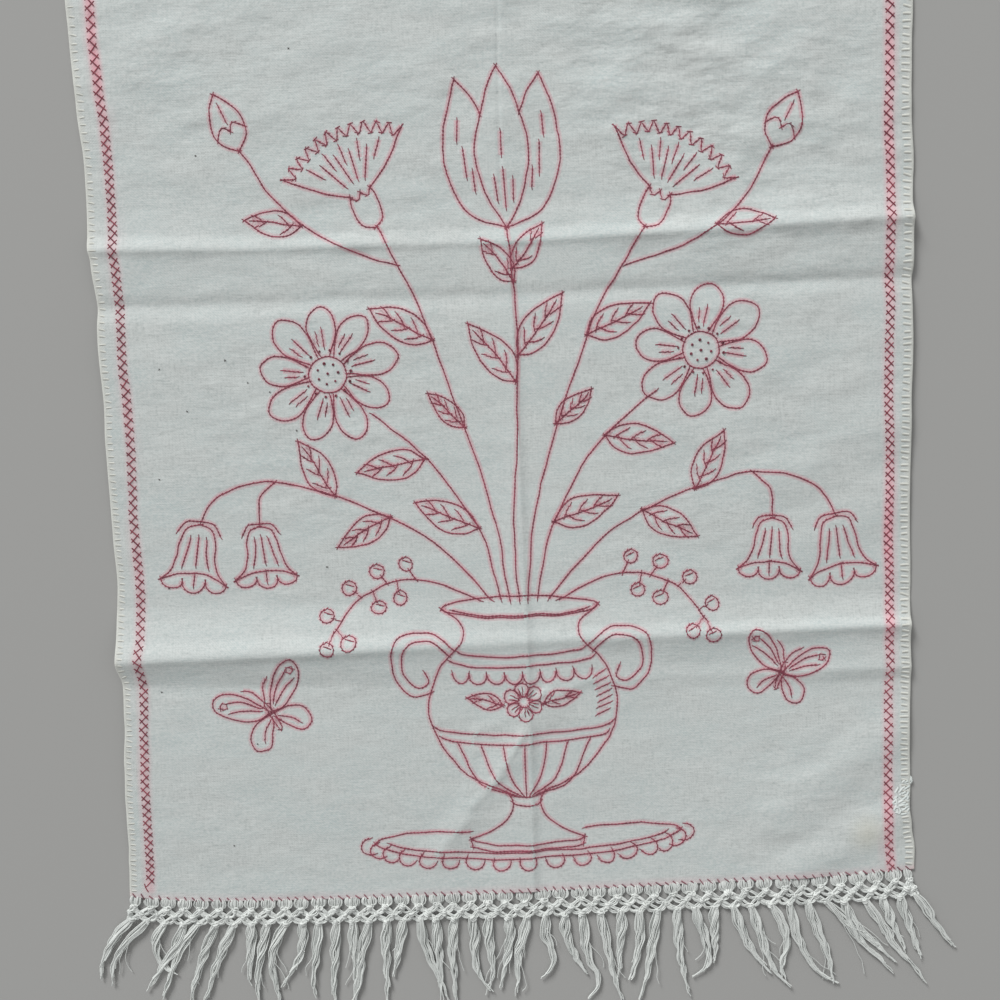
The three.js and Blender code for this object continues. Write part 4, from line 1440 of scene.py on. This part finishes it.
def draw_stems(*stems):
    redwork["stems_and_leaves"] += [smooth(stops) for stops in stems]


def draw_leaves(length, width, *leaves, veins=3):
    """Leaves of one size, each (across, up, turn)."""
    for across, up, turn in leaves:
        draw("stems_and_leaves", leaf(length, width, veins), (across, up), turn=turn)


# the urn on its mat
for drawing, up, turn in ((urn(), 0, 0), (mat(), 0, 0), (daisy(12.5, 6, 0.3), 119, 8)):
    draw("urn", drawing, (CENTRE, up), turn=turn)
draw_leaves(23, 10, (CENTRE - 13, 117, 76), (CENTRE + 13, 118, -78), veins=2)

# the middle stem and its tulip
draw_stems([(6, 182), (4, 225), (8, 285), (10, 345), (6, 410)])
draw_flower(tulip(), (6, 411), turn=2)
draw_leaves(46, 19, (9, 318, 38), (10, 334, -38))
draw_leaves(32, 14, (9, 378, 36), (8, 386, -38), veins=2)

# daisies to each side
draw_stems([(-6, 183), (-16, 225), (-44, 268), (-80, 302)], [(17, 183), (28, 228), (55, 276), (94, 310)])
draw_daisy((-106, 327), 43, 9, 5)
draw_daisy((121, 333), 42, 8, -8)
draw_leaves(42, 18, (-18, 229, 66), (-50, 273, 100), (29, 231, -70), (62, 284, -100))

# pinks above them
draw_stems([(0, 182), (-9, 240), (-30, 310), (-52, 372), (-72, 413)],
           [(11, 182), (18, 240), (38, 306), (62, 366), (89, 407)])
draw_flower(pink(), (-73, 413), turn=22, size=1.12)
draw_flower(pink(), (89, 407), turn=-24, size=1.12)
for low, high in (((-24, 292, 45), (-42, 345, 62)), ((32, 292, -48), (52, 345, -66))):
    draw_leaves(30.4, 12.8, low)
    draw_leaves(42, 18, high)

# buds beyond the pinks
draw_stems([(-60, 390), (-98, 404), (-132, 430), (-152, 462)],
           [(76, 386), (116, 398), (146, 420), (166, 452)])
draw_flower(bud(), (-152, 462), turn=24, size=1.35)
draw_flower(bud(), (166, 452), turn=-26, size=1.35)
draw_leaves(34, 15, (-118, 416, 84), (132, 408, -88), veins=2)

# bellflowers on the outer stems
draw_stems([(-12, 183), (-46, 222), (-96, 248), (-142, 262), (-176, 255), (-190, 238)],
           [(-142, 262), (-152, 252), (-153, 236)],
           [(24, 183), (60, 222), (106, 246), (152, 258), (188, 250), (202, 230)],
           [(152, 258), (163, 246), (164, 230)])
for across, up, turn, size in ((-190, 237, -10, 0.95), (-153, 235, 4, 0.85), (202, 229, 8, 0.95),
                               (164, 229, -5, 0.85)):
    draw_flower(placed(bellflower(), size=size), (across, up), turn=turn)
for length, width, *foot in ((38, 16, -72, 238, 118), (40, 17, -106, 252, 30), (38, 16, 84, 237, -118),
                             (40, 17, 116, 249, -28)):
    draw_leaves(length, width, foot)

# berry sprigs over the lip
for side in (-1, 1):
    draw_stems([(CENTRE + side * x, y) for x, y in BERRY_STEM])
    for (x0, y0), (x1, y1) in BERRIES:
        way = math.atan2(y1 - y0, x1 - x0)
        draw_flower(berry(), (CENTRE + side * x1, y1), flip=side < 0)
        foot_x, foot_y = x1 - BERRY_RADIUS * math.cos(way), y1 - BERRY_RADIUS * math.sin(way)
        redwork["stems_and_leaves"].append([(CENTRE + side * x0, y0), (CENTRE + side * foot_x, foot_y)])

# two butterflies
draw_flower(butterfly(), (-152, 118), turn=28, size=0.95)
draw_flower(butterfly(), (168, 132), turn=-18, size=0.85)


def stitched(line, proud=-0.08):
    """A drawn line laid on the cloth, a little off true as handwork is."""
    def off(across, up, salt):
        return 1.1 * uneven(across, up, 19, 19, salt) + 0.5 * uneven(across, up, 6, 6, salt + 1)

    return [on_cloth(across + off(across, up, 2.2), up + off(across, up, 6.6), proud) for across, up in line]


def line_length(line):
    return sum(math.dist(here, there) for here, there in zip(line, line[1:]))


redwork_pieces = [
    grow(f"redwork_{part}", STITCHES, [stitched(line) for line in lines], STEM_COTTON,
         laid=True, Spacing=2.25, Stitch_length=3.5, Thread_width=0.66, Arch=0.08,
         Lean=math.radians(10), Unevenness=0.09, Seed=91)
    for part, lines in redwork.items()
]
redwork_knots = grow(
    "redwork_french_knots", KNOTS,
    [[on_cloth(across, up, 0.1), on_cloth(across + 0.1, up, 0.6)] for across, up in french_knots],
    STEM_COTTON, laid=True, Knot_radius=0.55, Knot_length=0.7, Thread_radius=0.32, Unevenness=0.2, Seed=92,
)
dyed_lines = [line for lines in redwork.values() for line in lines if line_length(line) > 4]
redwork_dye = grow("redwork_dye", DYE, [stitched(line, 0.09) for line in dyed_lines],
                   PINK_DYE, laid=True, Step=3.6, Width=4.4, Thickness=0.04)
redwork_dye.visible_shadow = False

# ------------------------------------------------------------------------------- the pieces' places
FRINGE_PIECES = [heads, legs, knots, knot_ends, loops, tassels, strays]
RED_PIECES = [herringbone, loose_end, whip, *redwork_pieces, redwork_knots, redwork_dye]
WHITE_PIECES = [left_ladder, right_ladder, mend, loose_loops]
for piece in [woven_cloth, flecks, *FRINGE_PIECES, *RED_PIECES, *WHITE_PIECES]:
    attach(piece, "root")
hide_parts("towel_cloth")
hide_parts("knotted_fringe")


# ------------------------------------------------------------------------ floor, light and camera
def pale_floor(side=4.0, level=-0.0002):
    material, _, shader = new_material("plain pale floor", 0.9)
    fill(shader, {"Base Color": srgb(166, 166, 164)})
    mesh = bpy.data.meshes.new("floor")
    corners = [(-side, -side, level), (side, -side, level), (side, side, level), (-side, side, level)]
    mesh.from_pydata(corners, [], [(0, 1, 2, 3)])
    mesh.materials.append(material)
    new_object("floor", mesh)


def soft_lamp(name, place, aim, size, power):
    lamp = bpy.data.lights.new(name, "AREA")
    lamp.shape = "SQUARE"
    lamp.size = size
    lamp.energy = power
    holder = new_object(name, lamp)
    holder.location = place
    holder.rotation_euler = (Vector(aim) - Vector(place)).to_track_quat("-Z", "Y").to_euler()


def soft_daylight(level):
    world = bpy.data.worlds.new("soft daylight")
    world.use_nodes = True
    fill(world.node_tree.nodes["Background"], {"Color": (1.0, 1.0, 1.0, 1.0), "Strength": level})
    bpy.context.scene.world = world


def overhead_camera():
    """Nearly straight above the middle of the towel, looking down and a little towards the top."""
    camera = bpy.data.cameras.new("camera")
    camera.lens = 36
    camera.sensor_width = 36
    camera.clip_start = 0.01
    holder = new_object("camera", camera)
    holder.location = in_frame(*CAMERA_PLACE)
    holder.rotation_euler = [math.radians(turn) for turn in CAMERA_TURN]
    bpy.context.scene.camera = holder


pale_floor()
soft_daylight(0.44)
soft_lamp("window", place=(-5.3, 10.6, 5.6), aim=(0, 0, 0), size=4.0, power=1703)
overhead_camera()
bpy.context.scene.view_settings.view_transform = "Standard"
